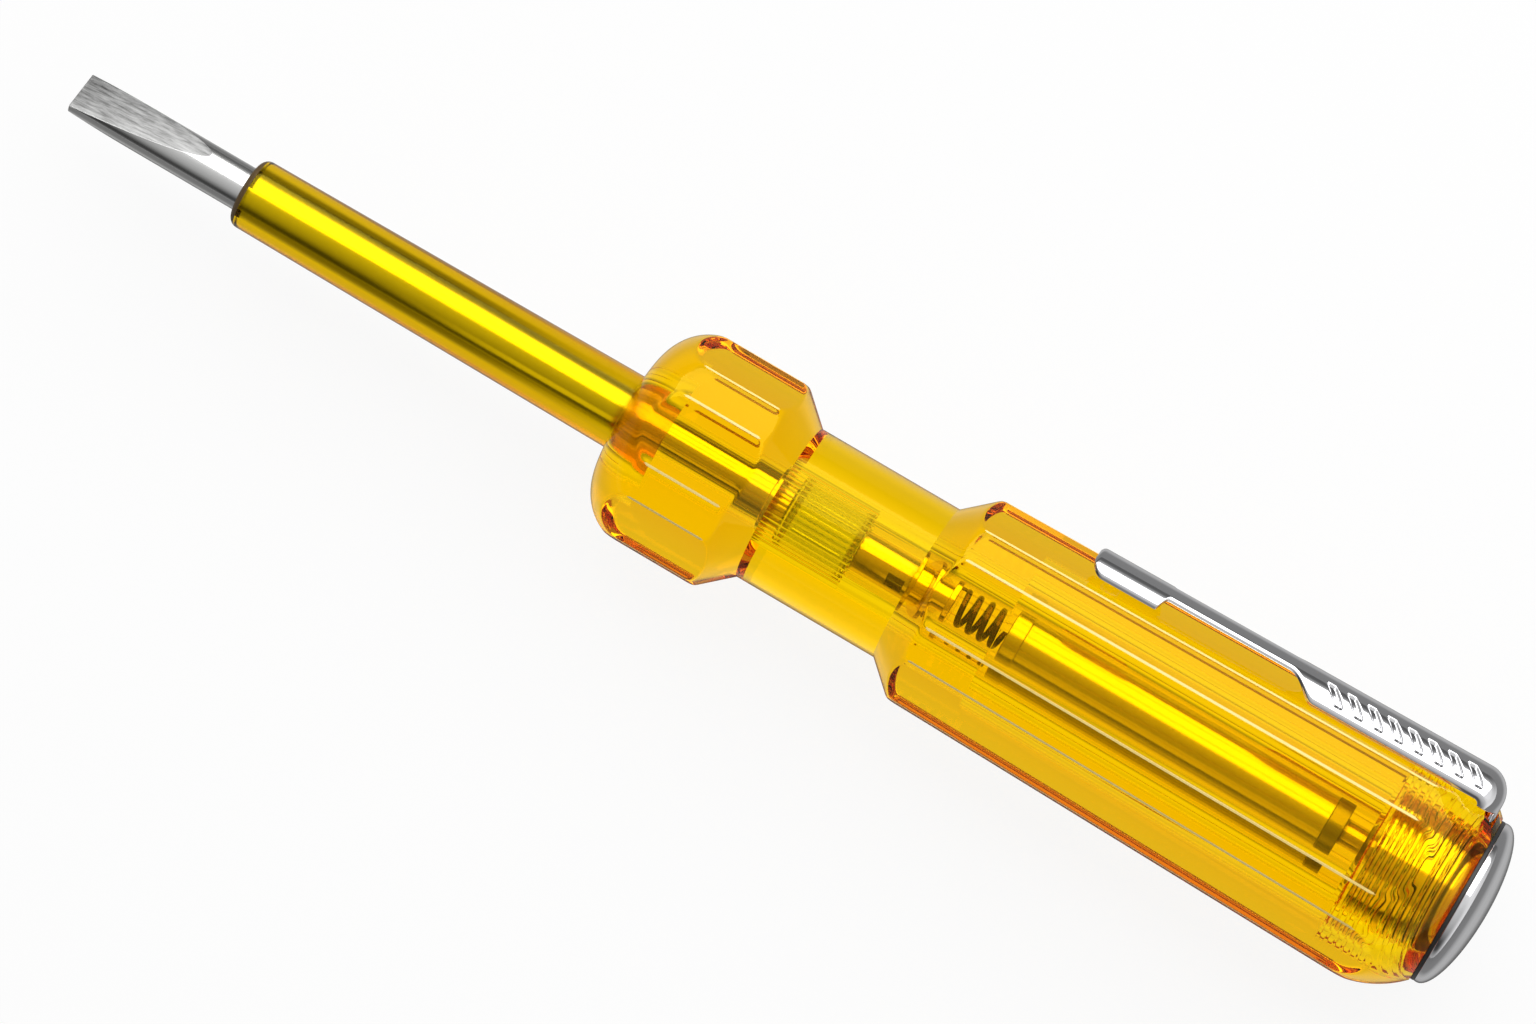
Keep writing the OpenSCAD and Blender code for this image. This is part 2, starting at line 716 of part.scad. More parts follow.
module clip_grooves() {
    intersection() {
        translate([-clip_len, 0, clip_axis_h])
            rotate([90, 0, 90]) linear_extrude(clip_len - clip_bend_r - groove_w / 2) difference() {
                circle(r = clip_arch_r + cut);
                circle(r = clip_arch_r - groove_depth);
            }
        for (side = [-1, 1], i = [0:groove_count - 1])
            translate([groove_first - i * groove_pitch, side * groove_w, 0])
                rotate(-side * (90 - groove_slant) + (side > 0 ? 90 : -90))
                    translate([-groove_w / 2, 0, 0])
                        cube([groove_w, groove_len, clip_crest + cut]);
    }
}

module pocket_clip() {
    color("whitesmoke") on_clip_flat() {
        difference() {
            clip_strip();
            clip_grooves();
        }
        clip_bend();
        clip_foot();
        translate([-clip_len + dimple_back, 0, dimple_r + dimple_gap]) sphere(r = dimple_r);
    }
}

handle();
blade();
blade_collar();
blade_sleeve();
lamp_front_cap();
lamp_glass();
lamp_front_electrode();
lamp_rear_electrode();
lamp_rear_cap();
lamp_ring();
contact_nipple();
contact_spring();
resistor_front_cap();
resistor_body();
resistor_rear_cap();
plug_nose();
end_plug();
cap_washer();
cap_dome();
pocket_clip();
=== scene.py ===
"""Looks of the voltage tester screwdriver: clear amber handle and sleeve, steel blade, glow lamp,
contact spring, resistor, threaded touch cap and chrome pocket clip, on a pale floor.
Places and sizes below are in millimetres in the part's own frame, and MM turns them into metres."""

import math

import bmesh
import bpy
from mathutils import Matrix, Vector


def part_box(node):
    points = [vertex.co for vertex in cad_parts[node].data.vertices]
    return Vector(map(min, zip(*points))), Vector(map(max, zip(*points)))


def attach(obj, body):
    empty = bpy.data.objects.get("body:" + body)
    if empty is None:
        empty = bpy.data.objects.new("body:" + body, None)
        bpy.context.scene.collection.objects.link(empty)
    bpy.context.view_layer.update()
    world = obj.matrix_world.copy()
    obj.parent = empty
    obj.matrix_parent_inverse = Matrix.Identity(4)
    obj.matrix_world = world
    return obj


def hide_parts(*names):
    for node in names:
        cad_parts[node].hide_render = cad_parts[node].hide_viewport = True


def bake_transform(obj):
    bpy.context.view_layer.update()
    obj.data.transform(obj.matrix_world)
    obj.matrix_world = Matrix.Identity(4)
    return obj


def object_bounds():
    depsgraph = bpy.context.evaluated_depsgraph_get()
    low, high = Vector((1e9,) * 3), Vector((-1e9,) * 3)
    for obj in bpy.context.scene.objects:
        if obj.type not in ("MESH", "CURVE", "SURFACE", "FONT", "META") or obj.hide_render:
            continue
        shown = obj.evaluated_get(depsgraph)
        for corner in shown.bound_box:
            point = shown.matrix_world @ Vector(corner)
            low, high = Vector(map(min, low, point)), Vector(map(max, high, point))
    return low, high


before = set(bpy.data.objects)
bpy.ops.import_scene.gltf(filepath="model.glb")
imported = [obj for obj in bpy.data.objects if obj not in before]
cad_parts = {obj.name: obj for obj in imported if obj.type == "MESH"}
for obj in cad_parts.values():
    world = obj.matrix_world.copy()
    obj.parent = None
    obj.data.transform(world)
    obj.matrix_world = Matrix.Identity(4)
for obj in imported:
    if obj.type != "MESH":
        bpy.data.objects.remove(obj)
cad_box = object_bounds()

MM = 0.001
# How far cutters run past what they cut, a point's tolerance, and the gap round pieces that stay together
OVERRUN = 1
NEAR = 1e-3
SNUG = 0.03
# Steps of a turned piece: small, large and finest
SMALL_STEPS = 96
LARGE_STEPS = 128
FINE_STEPS = 144
# Rounding of turned edges
THIN_EDGE = 0.06
CUP_EDGE = 0.08
SEAT_EDGE = 0.1
RING_EDGE = 0.12


def span(node):
    """First and last place of a CAD node along the tool, in millimetres."""
    low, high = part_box(node)
    return low.x / MM, high.x / MM


# Places along the tool, from the blade tip
SLEEVE_X, SLEEVE_END = span("blade_sleeve")
HANDLE_X, HANDLE_END = span("handle")
COLLAR_X, ROD_END = span("blade_collar")
BULB_X = span("lamp_front_cap")[1]
GLASS_FRONT, REAR_SEAL_END = span("lamp_glass")
BULB_END = span("lamp_rear_cap")[0]
RING_X, RING_END = span("lamp_ring")
SPRING_X, RESISTOR_X = span("contact_spring")
RESISTOR_END, NOSE_END = span("plug_nose")
PLUG_X, TAIL_END = span("end_plug")
BAND_END = span("cap_washer")[1]
DOME_END = span("cap_dome")[1]

# Blade and sleeve
GRIND_LEN = 12.1
BLADE_R = 1.9
TIP_T = 0.75
GRIND_ROLL = 30
SLEEVE_FRONT_R = 3.0
SLEEVE_REAR_R = 3.25
SLEEVE_ROUND = 0.8
SLEEVE_HUG = 0.02
SLEEVE_INSET = 0.01
BLADE_BEVEL = 0.11
# What counts as ground flat and as cut end, by the way that a face looks
FLAT_MARGIN = 0.002
CUT_END_SLOPE = -0.35

# Handle outline
KNOB_FACE_R = 4.5
KNOB_FACE_ROUND = 0.3
KNOB_FACE_LEAD = (0.2, 0.7)
KNOB_ARC_START = 172
KNOB_FRONT_LEN = 4.6
KNOB_LEN = 6.0
KNOB_R = 9.3
NECK_R = 6.8
NECK_LEN = 12.7
GRIP_FRONT_R = 9.25
GRIP_REAR_R = 10.0
GRIP_LEN = 39.7
END_ROUND = 8.7
END_BREAK = 0.12
SHOULDER_ROUND = 1.6
SHOULDER_ANGLE = 42
RIDGE_MARGIN = 0.04
FLAT_TURN = 60
WIDE_HALF = 19.75
NARROW_HALF = FLAT_TURN / 2 - WIDE_HALF
RIDGE_SOFT = 0.1
# How near the wide and narrow flats' radii come along a ridge, in millimetres, for the painted ridge
# highlight
RIDGE_HIGHLIGHT_H = 0.045


def shoulder_len(r):
    """Run of a shoulder from the neck up to a turned radius."""
    turn = math.radians(SHOULDER_ANGLE)
    rise = r - SHOULDER_ROUND * (1 - math.cos(turn)) - NECK_R
    return SHOULDER_ROUND * math.sin(turn) + rise / math.tan(turn)


KNOB_END = HANDLE_X + KNOB_FRONT_LEN + KNOB_LEN
NECK_X = KNOB_END + shoulder_len(KNOB_R + RIDGE_MARGIN)
NECK_END = NECK_X + NECK_LEN
GRIP_X = NECK_END + shoulder_len(GRIP_FRONT_R + RIDGE_MARGIN)
GRIP_END = GRIP_X + GRIP_LEN

# Bores of the handle
SOCKET_R = 3.28
ROD_BORE_R = 1.93
LAMP_BORE_R = 2.5
FLUTES = 36
FLUTE_DEPTH = 0.1
FLUTE_FADE = 0.1
BORE_COLUMNS = 6 * FLUTES
SPRING_BORE_R = 2.95
RESISTOR_BORE_R = 3.85
RESISTOR_BORE_LEAD = 0.6
RESISTOR_BORE_X = RESISTOR_X - RESISTOR_BORE_LEAD
TAP_STEP = 0.4
TAP_LEAD = 0.5
TAP_X = PLUG_X - TAP_LEAD
BAND_LEN = 1.9
MOUTH_R = 5.8
MOUTH_X = HANDLE_END - BAND_LEN + SNUG

# Lamp and contacts
SEAL_R = 1.45
GLASS_R = 2.35
GLASS_WALL = 0.3
GLASS_ROUND = 0.3
ROOM_ROUND = 0.6
LAMP_CUP_R = 1.75
LAMP_CUP_BORE_R = 1.5
LAMP_CUP_FLOOR = 0.4
SLOT_LEN = 1.5
SLOT_W = 1.0
SLOT_ROLL = 30
RING_R = 2.9
RING_HOLE_R = 1.2
NIPPLE_R = 1.85
SEAT_R = 2.75
SEAT_T = 0.5
FIT = 0.05
SPRING_WIRE = 0.5
SPRING_TURNS = 3.75
SPRING_STEPS = 90
SPRING_FRONT_D = 4.8
SPRING_REAR_D = 5.1

# Resistor
RESISTOR_R = 3.3
RESISTOR_CAP_R = 3.4
RESISTOR_CAP_LEN = 1.4
RESISTOR_CAP_WALL = 0.25
RESISTOR_CUP_R = RESISTOR_CAP_R - RESISTOR_CAP_WALL

# Touch cap
NOSE_R = 1.65
NOSE_GROOVE = 0.4
STEM_R = 1.3
BAND_R = 5.0
THREAD_LEN = 5.5
THREAD_END = PLUG_X + THREAD_LEN
TAIL_R = 3.0
DOME_R = 7.2
DOME_RIM = 0.25
DOME_LAND = 0.6

# Thread of the touch cap
PITCH = 0.7
THREAD_ROOT_R = 5.1
THREAD_CREST_R = 5.55
THREAD_FLANK = 0.24
THREAD_CREST_W = 0.2
THREAD_GAP = 0.15
# Span about the thread's root radius whose faces get painted shade
ROOT_SHADE_SPAN = (-0.05, 0.3)
THREAD_PLAY = 0.06
TAP_BLUNT = 0.17
PITCH_ROWS = 18

# Pocket clip, in its own flat's frame: u along the flat, v across it, w out of it
CLIP_INSET = 0.6
CLIP_X = HANDLE_END - CLIP_INSET
CLIP_LEN = 37.2
CLIP_SHEET = 0.36
CLIP_ARCH_R = 3.0
CLIP_COLUMNS = 64
CLIP_ROLL_R = 0.4
CLIP_ROLL_LIMIT = 0.93
CLIP_CREST = 1.95
CLIP_BEND_R = 2.2
CLIP_HALF_W = 2.67
CLIP_ROLL = -60
HEAD_LEN = 6.7
HEAD_HALF_W = 2.3
HEAD_ROUND = 1.3
HEAD_STEP = 0.7
HEAD_MARGIN = 0.1
ARM_LEN = 10.8
ARM_HALF_W = 1.25
TAIL_STEP = 2.9
FOOT_HALF_W = 1.2
FOOT_LEN = 2.95
FOOT_GAP = 0.13
FOOT_SWING = 0.2
FOOT_STEP = 0.6
DIMPLE_R = 0.85
DIMPLE_BACK = 2.1
DIMPLE_GAP = 0.06
GROOVE_COUNT = 8
GROOVE_SIDE = -1
GROOVE_PITCH = 1.8
GROOVE_W = 0.75
GROOVE_DEPTH = 0.24
GROOVE_SLANT = 42
GROOVE_IN = 0.5
GROOVE_OUT = 2.2
GROOVE_FADE = 0.25
GROOVE_WALL = 0.18


# Modelling helpers

def clear_selection():
    """Object mode with nothing selected."""
    if bpy.context.object and bpy.context.object.mode != "OBJECT":
        bpy.ops.object.mode_set(mode="OBJECT")
    bpy.ops.object.select_all(action="DESELECT")


def select_only(piece):
    """Object mode with one piece selected and active."""
    clear_selection()
    piece.select_set(True)
    bpy.context.view_layer.objects.active = piece


def arc(cx, cy, rx, ry, a0, a1, steps):
    """Points on an elliptic arc, angles in degrees."""
    turns = [math.radians(a0 + (a1 - a0) * i / steps) for i in range(steps + 1)]
    return [(cx + rx * math.cos(a), cy + ry * math.sin(a)) for a in turns]


def soften(points, size, steps=3, share=0.45):
    """The same profile with each inner corner rounded off, by no more than a share of either side."""
    rounded = [points[0]]
    for before, corner, after in zip(points, points[1:], points[2:]):
        a, b, c = Vector(before), Vector(corner), Vector(after)
        start = b + (a - b).normalized() * min(size, (a - b).length * share)
        end = b + (c - b).normalized() * min(size, (c - b).length * share)
        for i in range(steps + 1):
            t = i / steps
            p = start * (1 - t) ** 2 + b * 2 * t * (1 - t) + end * t ** 2
            rounded.append((p.x, p.y))
    return rounded + [points[-1]]


def new_piece(name, primitive, **settings):
    """A new primitive or light, alone in the selection."""
    clear_selection()
    primitive(**settings)
    bpy.context.object.name = name
    return bpy.context.object


def draw_profile(name, points):
    """A new object in edit mode that holds the profile as a line of [place along X, radius] points."""
    piece = new_piece(name, bpy.ops.mesh.primitive_plane_add, size=MM)
    piece.data.name = name
    bpy.ops.object.mode_set(mode="EDIT")
    bpy.ops.mesh.select_mode(type="VERT")
    bpy.ops.mesh.select_all(action="SELECT")
    bpy.ops.mesh.merge(type="CENTER")
    bpy.ops.transform.translate(value=(points[0][0] * MM, 0, points[0][1] * MM))
    for (x0, r0), (x1, r1) in zip(points, points[1:]):
        step = ((x1 - x0) * MM, 0, (r1 - r0) * MM)
        bpy.ops.mesh.extrude_vertices_move(TRANSFORM_OT_translate={"value": step})
    return piece


def spin_profile(steps):
    """Spins the drawn line once round the tool's axis and closes the seam."""
    bpy.ops.mesh.select_all(action="SELECT")
    bpy.ops.mesh.spin(steps=steps, angle=math.tau, center=(0, 0, 0), axis=(1, 0, 0))
    bpy.ops.mesh.select_all(action="SELECT")
    bpy.ops.mesh.remove_doubles(threshold=MM / 500)


def face_out():
    """Turns all faces outwards and leaves edit mode."""
    bpy.ops.mesh.select_all(action="SELECT")
    bpy.ops.mesh.normals_make_consistent(inside=False)
    bpy.ops.object.mode_set(mode="OBJECT")


def shade(piece, sharp=35):
    """Smooth shading, but for edges sharper than an angle."""
    select_only(piece)
    bpy.ops.object.shade_smooth_by_angle(angle=math.radians(sharp))


def apply_modifier(piece, kind, **settings):
    select_only(piece)
    modifier = piece.modifiers.new(kind.title(), kind)
    for key, value in settings.items():
        setattr(modifier, key, value)
    bpy.ops.object.modifier_apply(modifier=modifier.name)


def turned(name, points, steps=SMALL_STEPS):
    """A solid of revolution about the tool's axis."""
    piece = draw_profile(name, points)
    spin_profile(steps)
    face_out()
    shade(piece)
    return piece


def cut_away(piece, cutter):
    """Takes the cutter's shape out of the piece and removes the cutter."""
    apply_modifier(piece, "BOOLEAN", operation="DIFFERENCE", object=cutter, solver="EXACT")
    bpy.data.objects.remove(cutter)


def block(name, low, size, place):
    """A box from its lowest corner and its size, put in place by a matrix."""
    box = new_piece(name, bpy.ops.mesh.primitive_cube_add, size=1)
    middle = Vector([(a + s / 2) * MM for a, s in zip(low, size)])
    box.data.transform(place @ Matrix.Translation(middle) @ Matrix.Diagonal((*[s * MM for s in size], 1)))
    return box


def dress(piece, material, body, slot, *nodes):
    """Gives a finished piece its material, its body and the CAD nodes that it stands for."""
    piece.data.materials.clear()
    piece.data.materials.append(material)
    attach(piece, body)
    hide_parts(*nodes)


def paint(piece, material, chosen):
    """Gives a second material to the faces that a test chooses."""
    piece.data.materials.append(material)
    for face in piece.data.polygons:
        if chosen(face):
            face.material_index = 1


# Materials

def feed(tree, node, inputs):
    """Sets a node's sockets by name or number: to a value, or linked to another node's socket."""
    for key, value in inputs.items():
        if isinstance(value, bpy.types.NodeSocket):
            tree.links.new(value, node.inputs[key])
        else:
            node.inputs[key].default_value = value


def add(tree, kind, x, y, **inputs):
    """A node at a place in the tree, with its sockets fed by name."""
    node = tree.nodes.new(kind)
    node.location = (x, y)
    feed(tree, node, {key.replace("_", " "): value for key, value in inputs.items()})
    return node


def add_math(tree, operation, x, y, a, b, kind="ShaderNodeMath"):
    """A math node; a and b are sockets or numbers."""
    node = add(tree, kind, x, y)
    node.operation = operation
    feed(tree, node, {0: a, 1: b})
    return node.outputs[0]


def mix_colours(tree, factor, a, b, x, y):
    """A mix of two colours, each a socket or a value."""
    node = add(tree, "ShaderNodeMix", x, y)
    node.data_type = "RGBA"
    feed(tree, node, {"Factor": factor, "A": a, "B": b})
    return node.outputs["Result"]


def make_group(name, inputs, outputs):
    """An empty shader node group with named sockets, and its input and output nodes."""
    tree = bpy.data.node_groups.new(name, "ShaderNodeTree")
    for label, kind, value in inputs:
        socket = tree.interface.new_socket(label, in_out="INPUT", socket_type=kind)
        if value is not None:
            socket.default_value = value
    for label, kind in outputs:
        tree.interface.new_socket(label, in_out="OUTPUT", socket_type=kind)
    return tree, add(tree, "NodeGroupInput", -800, 0), add(tree, "NodeGroupOutput", 600, 0)


def drift_group():
    """Slow cloudy change over the surface, with fine specks in it."""
    tree, into, out = make_group(
        "Drift",
        [("Vector", "NodeSocketVector", None), ("Scale", "NodeSocketFloat", 90.0),
         ("Specks", "NodeSocketFloat", 0.2)],
        [("Mask", "NodeSocketFloat")])
    vector, scale, specks = [into.outputs[label] for label in ("Vector", "Scale", "Specks")]
    cloud = add(tree, "ShaderNodeTexNoise", -500, 120, Vector=vector, Scale=scale, Detail=3.0,
                Roughness=0.5)
    fine_scale = add_math(tree, "MULTIPLY", -600, -160, scale, 14.0)
    fine = add(tree, "ShaderNodeTexNoise", -400, -160, Vector=vector, Scale=fine_scale, Detail=2.0)
    mix = add(tree, "ShaderNodeMix", 100, 0, Factor=specks, A=cloud.outputs["Fac"], B=fine.outputs["Fac"])
    tree.links.new(mix.outputs["Result"], out.inputs["Mask"])
    return tree


def grind_group():
    """Fine parallel tool marks: noise stretched along one direction."""
    tree, into, out = make_group(
        "Tool marks",
        [("Vector", "NodeSocketVector", None), ("Stretch", "NodeSocketVector", (1.0, 1.0, 1.0)),
         ("Contrast", "NodeSocketFloat", 1.0)],
        [("Mask", "NodeSocketFloat")])
    vector, stretch_by, contrast = [into.outputs[label] for label in ("Vector", "Stretch", "Contrast")]
    scaled = add_math(tree, "MULTIPLY", -560, 80, vector, stretch_by, kind="ShaderNodeVectorMath")
    coarse = add(tree, "ShaderNodeTexNoise", -340, 160, Vector=scaled, Scale=1.0, Detail=4.0,
                 Roughness=0.65)
    centred = add_math(tree, "SUBTRACT", -160, 60, coarse.outputs["Fac"], 0.5)
    spread = add_math(tree, "MULTIPLY", 0, 60, centred, contrast)
    lifted = add_math(tree, "ADD", 160, 60, spread, 0.5)
    clamp = add(tree, "ShaderNodeClamp", 320, 40, Value=lifted)
    tree.links.new(clamp.outputs["Result"], out.inputs["Mask"])
    return tree


DRIFT = drift_group()
TOOL_MARKS = grind_group()


def blank_tree(owner):
    """The emptied node tree of a material or a world."""
    owner.use_nodes = True
    owner.node_tree.nodes.clear()
    return owner.node_tree


def new_material(name):
    """A material with only its output and shader, and a node that gives Object coordinates."""
    material = bpy.data.materials.new(name)
    tree = blank_tree(material)
    shader = add(tree, "ShaderNodeBsdfPrincipled", 360, 0)
    out = add(tree, "ShaderNodeOutputMaterial", 700, 0, Surface=shader.outputs["BSDF"])
    place = add(tree, "ShaderNodeTexCoord", -900, 0)
    return material, tree, out, shader, place.outputs["Object"]


def place_group(tree, group, x, y, **inputs):
    """A node that stands for a group, with its sockets fed by name."""
    node = add(tree, "ShaderNodeGroup", x, y)
    node.node_tree = group
    feed(tree, node, inputs)
    return node.outputs["Mask"]


def coat(tree, shader, tint, low, high, marks, rough, bump, height):
    """Colour by one mask; roughness and bumps by another, with their height in millimetres."""
    colour = mix_colours(tree, tint, (*low, 1), (*high, 1), 0, 200)
    spread = add(tree, "ShaderNodeMapRange", 0, -100, Value=marks, To_Min=rough[0], To_Max=rough[1])
    bumps = add(tree, "ShaderNodeBump", 100, -400, Height=marks, Strength=bump, Distance=height * MM)
    feed(tree, shader, {"Base Color": colour, "Roughness": spread.outputs["Result"],
                        "Normal": bumps.outputs["Normal"]})


def clear_plastic(name, low, high, absorb, density, rough, wave):
    """Clear moulded plastic: light is tinted by the depth that it crosses."""
    material, tree, out, shader, place = new_material(name)
    cloud = place_group(tree, DRIFT, -500, 100, Vector=place, Scale=110.0, Specks=0.15)
    coat(tree, shader, cloud, low, high, cloud, rough, wave, 0.05)
    feed(tree, shader, {"Transmission Weight": 1.0, "IOR": 1.49, "Specular Tint": (1.0, 0.82, 0.06, 1)})
    depth = add(tree, "ShaderNodeVolumeAbsorption", 360, -420, Color=(*absorb, 1), Density=density)
    tree.links.new(depth.outputs["Volume"], out.inputs["Volume"])
    return material


def metal(name, low, high, rough, stretch_by, contrast=1.6, bump=0.05, streaked=False):
    """Plated or turned metal with fine tool marks, which also streak its colour if asked."""
    material, tree, _, shader, place = new_material(name)
    marks = place_group(tree, TOOL_MARKS, -500, 160, Vector=place, Stretch=stretch_by, Contrast=contrast)
    cloud = place_group(tree, DRIFT, -500, -160, Vector=place, Scale=160.0, Specks=0.3)
    coat(tree, shader, marks if streaked else cloud, low, high, marks, rough, bump, 0.02)
    feed(tree, shader, {"Metallic": 1.0})
    return material


def lacquer(name, low, high, rough, metallic, grain):
    """A coated or rubber surface with a little colour change and grain."""
    material, tree, _, shader, place = new_material(name)
    cloud = place_group(tree, DRIFT, -500, 100, Vector=place, Scale=220.0, Specks=0.4)
    coat(tree, shader, cloud, low, high, cloud, rough, grain, 0.03)
    feed(tree, shader, {"Metallic": metallic})
    return material


def clear_glass(name, low, high, rough, wave):
    """Thin clear glass, tinted at its surface."""
    material, tree, _, shader, place = new_material(name)
    cloud = place_group(tree, DRIFT, -500, 100, Vector=place, Scale=300.0, Specks=0.1)
    coat(tree, shader, cloud, low, high, cloud, rough, wave, 0.05)
    feed(tree, shader, {"Transmission Weight": 1.0, "IOR": 1.5})
    return material


# How much finer tool marks are in each direction
ALONG = (60.0, 2500.0, 2500.0)
ABOUT = (4000.0, 120.0, 120.0)
GROUND = (120.0, 4200.0, 4200.0)
EVENLY = (300.0, 300.0, 300.0)
DRAWN = (700.0, 700.0, 700.0)
# Painted highlight: a pale opaque coat along the ridges between the handle's flats, standing in for the
# light lines that the ridges catch
RIDGE_HIGHLIGHT = lacquer("Painted ridge highlight", (0.95, 0.66, 0.16), (1.0, 0.82, 0.34), (0.3, 0.5), 0.0, 0.05)
AMBER = clear_plastic("Amber handle", (1.0, 0.81, 0.3), (1.0, 0.84, 0.36), (0.997, 0.957, 0.03), 620.0,
                      (0.0, 0.02), 0.01)
CUT_END = lacquer("Cut plastic end", (0.06, 0.035, 0.008), (0.14, 0.08, 0.02), (0.4, 0.6), 0.0, 0.1)
SLEEVE = clear_plastic("Amber sleeve", (1.0, 0.83, 0.4), (1.0, 0.86, 0.46), (0.997, 0.956, 0.08), 2400.0,
                       (0.0, 0.03), 0.01)
STEEL = metal("Blade steel", (0.70, 0.70, 0.69), (0.80, 0.80, 0.79), (0.12, 0.22), ALONG)
GROUND_STEEL = metal("Ground steel", (0.13, 0.13, 0.128), (0.52, 0.52, 0.515), (0.38, 0.6), GROUND,
                     contrast=2.6, bump=0.3, streaked=True)
CHROME = metal("Chrome", (0.80, 0.80, 0.82), (0.88, 0.88, 0.89), (0.04, 0.12), EVENLY,
               contrast=1.0, bump=0.01)
LAMP_BRASS = metal("Lamp brass", (0.70, 0.58, 0.32), (0.80, 0.67, 0.38), (0.14, 0.26), ABOUT)
PLUG_BRASS = metal("Plug brass", (0.88, 0.72, 0.40), (0.95, 0.80, 0.50), (0.10, 0.22), ABOUT)
# Painted shade: near-black brass in the thread's roots, where the gaps between the threads lie in shade
ROOT_SHADE_BRASS = metal("Thread root painted shade", (0.03, 0.018, 0.006), (0.08, 0.05, 0.016), (0.3, 0.5), ABOUT)
SPRING_BRASS = metal("Spring wire", (0.07, 0.032, 0.012), (0.14, 0.065, 0.025), (0.2, 0.34), DRAWN)
NICKEL = metal("Nickel", (0.70, 0.72, 0.66), (0.82, 0.84, 0.78), (0.12, 0.25), ALONG)
CAP_METAL = metal("Resistor caps", (0.30, 0.28, 0.22), (0.40, 0.37, 0.30), (0.25, 0.4), ABOUT)
BRIGHT_CAP = metal("Bright resistor cap", (0.70, 0.67, 0.54), (0.80, 0.77, 0.64), (0.18, 0.3), ABOUT)
FILM = lacquer("Resistor film", (0.74, 0.71, 0.58), (0.84, 0.81, 0.68), (0.16, 0.26), 0.85, 0.03)
SEAL = lacquer("Black seal", (0.012, 0.012, 0.012), (0.03, 0.03, 0.03), (0.35, 0.55), 0.0, 0.15)
GLASS = clear_glass("Lamp glass", (0.70, 0.80, 0.62), (0.86, 0.93, 0.80), (0.0, 0.03), 0.05)


# Handle

def grip_ridge(x):
    return GRIP_FRONT_R + (GRIP_REAR_R - GRIP_FRONT_R) * (x - GRIP_X) / (GRIP_END - GRIP_X)


def soft_min(a, b):
    """The smaller of two radii, with the corner between them rounded."""
    near = max(RIDGE_SOFT - abs(a - b), 0) / RIDGE_SOFT
    return min(a, b) - near * near * RIDGE_SOFT / 4


def flat_radii(x, angle):
    """How far the wide and narrow flats lie from the axis in a direction."""
    ridge = KNOB_R if x < (NECK_X + NECK_END) / 2 else grip_ridge(x)
    off = angle % FLAT_TURN
    from_wide = min(off, FLAT_TURN - off)
    from_narrow = abs(off - FLAT_TURN / 2)
    wide = ridge * math.cos(math.radians(WIDE_HALF)) / math.cos(math.radians(from_wide))
    narrow = ridge * math.cos(math.radians(NARROW_HALF)) / math.cos(math.radians(from_narrow))
    return wide, narrow


def on_ridge_highlight(x, angle, r):
    """Whether a place on the skin lies along the edge between two flats, where the ridge highlight is
    painted.
    """
    wide, narrow = flat_radii(x, angle)
    return abs(wide - narrow) < RIDGE_HIGHLIGHT_H and r > max(wide, narrow)


# Angles of the skin's columns from the middle of a wide flat, gathered on both sides of the ridge
HALF_COLUMNS = [0, 1.7, 3.4, 5.1, 6.8, 8.5, 10.2, 11.9, 13.5, 15.0, 16.4, 17.6, 18.5, 19.1, 19.45, WIDE_HALF,
                20.05, 20.4, 21.0, 21.9, 23.1, 24.6, 26.4, 28.2]
COLUMNS = [base + a for base in range(0, 360, FLAT_TURN)
           for a in HALF_COLUMNS + [FLAT_TURN / 2] + [FLAT_TURN - a for a in reversed(HALF_COLUMNS[1:])]]


def stretch(start, end, steps):
    """A straight run between two points, cut into steps."""
    (x0, r0), (x1, r1) = start, end
    return [(x0 + (x1 - x0) * i / steps, r0 + (r1 - r0) * i / steps) for i in range(1, steps)]


def sorted_run(points):
    """Drops points that step back along the tool, which rounding at a corner can leave."""
    least = NEAR / 10
    run = [points[0]]
    for x, r in points[1:]:
        last_x, last_r = run[-1]
        if x > last_x + least or (r != last_r and x >= last_x - least):
            run.append((x, r))
    return run


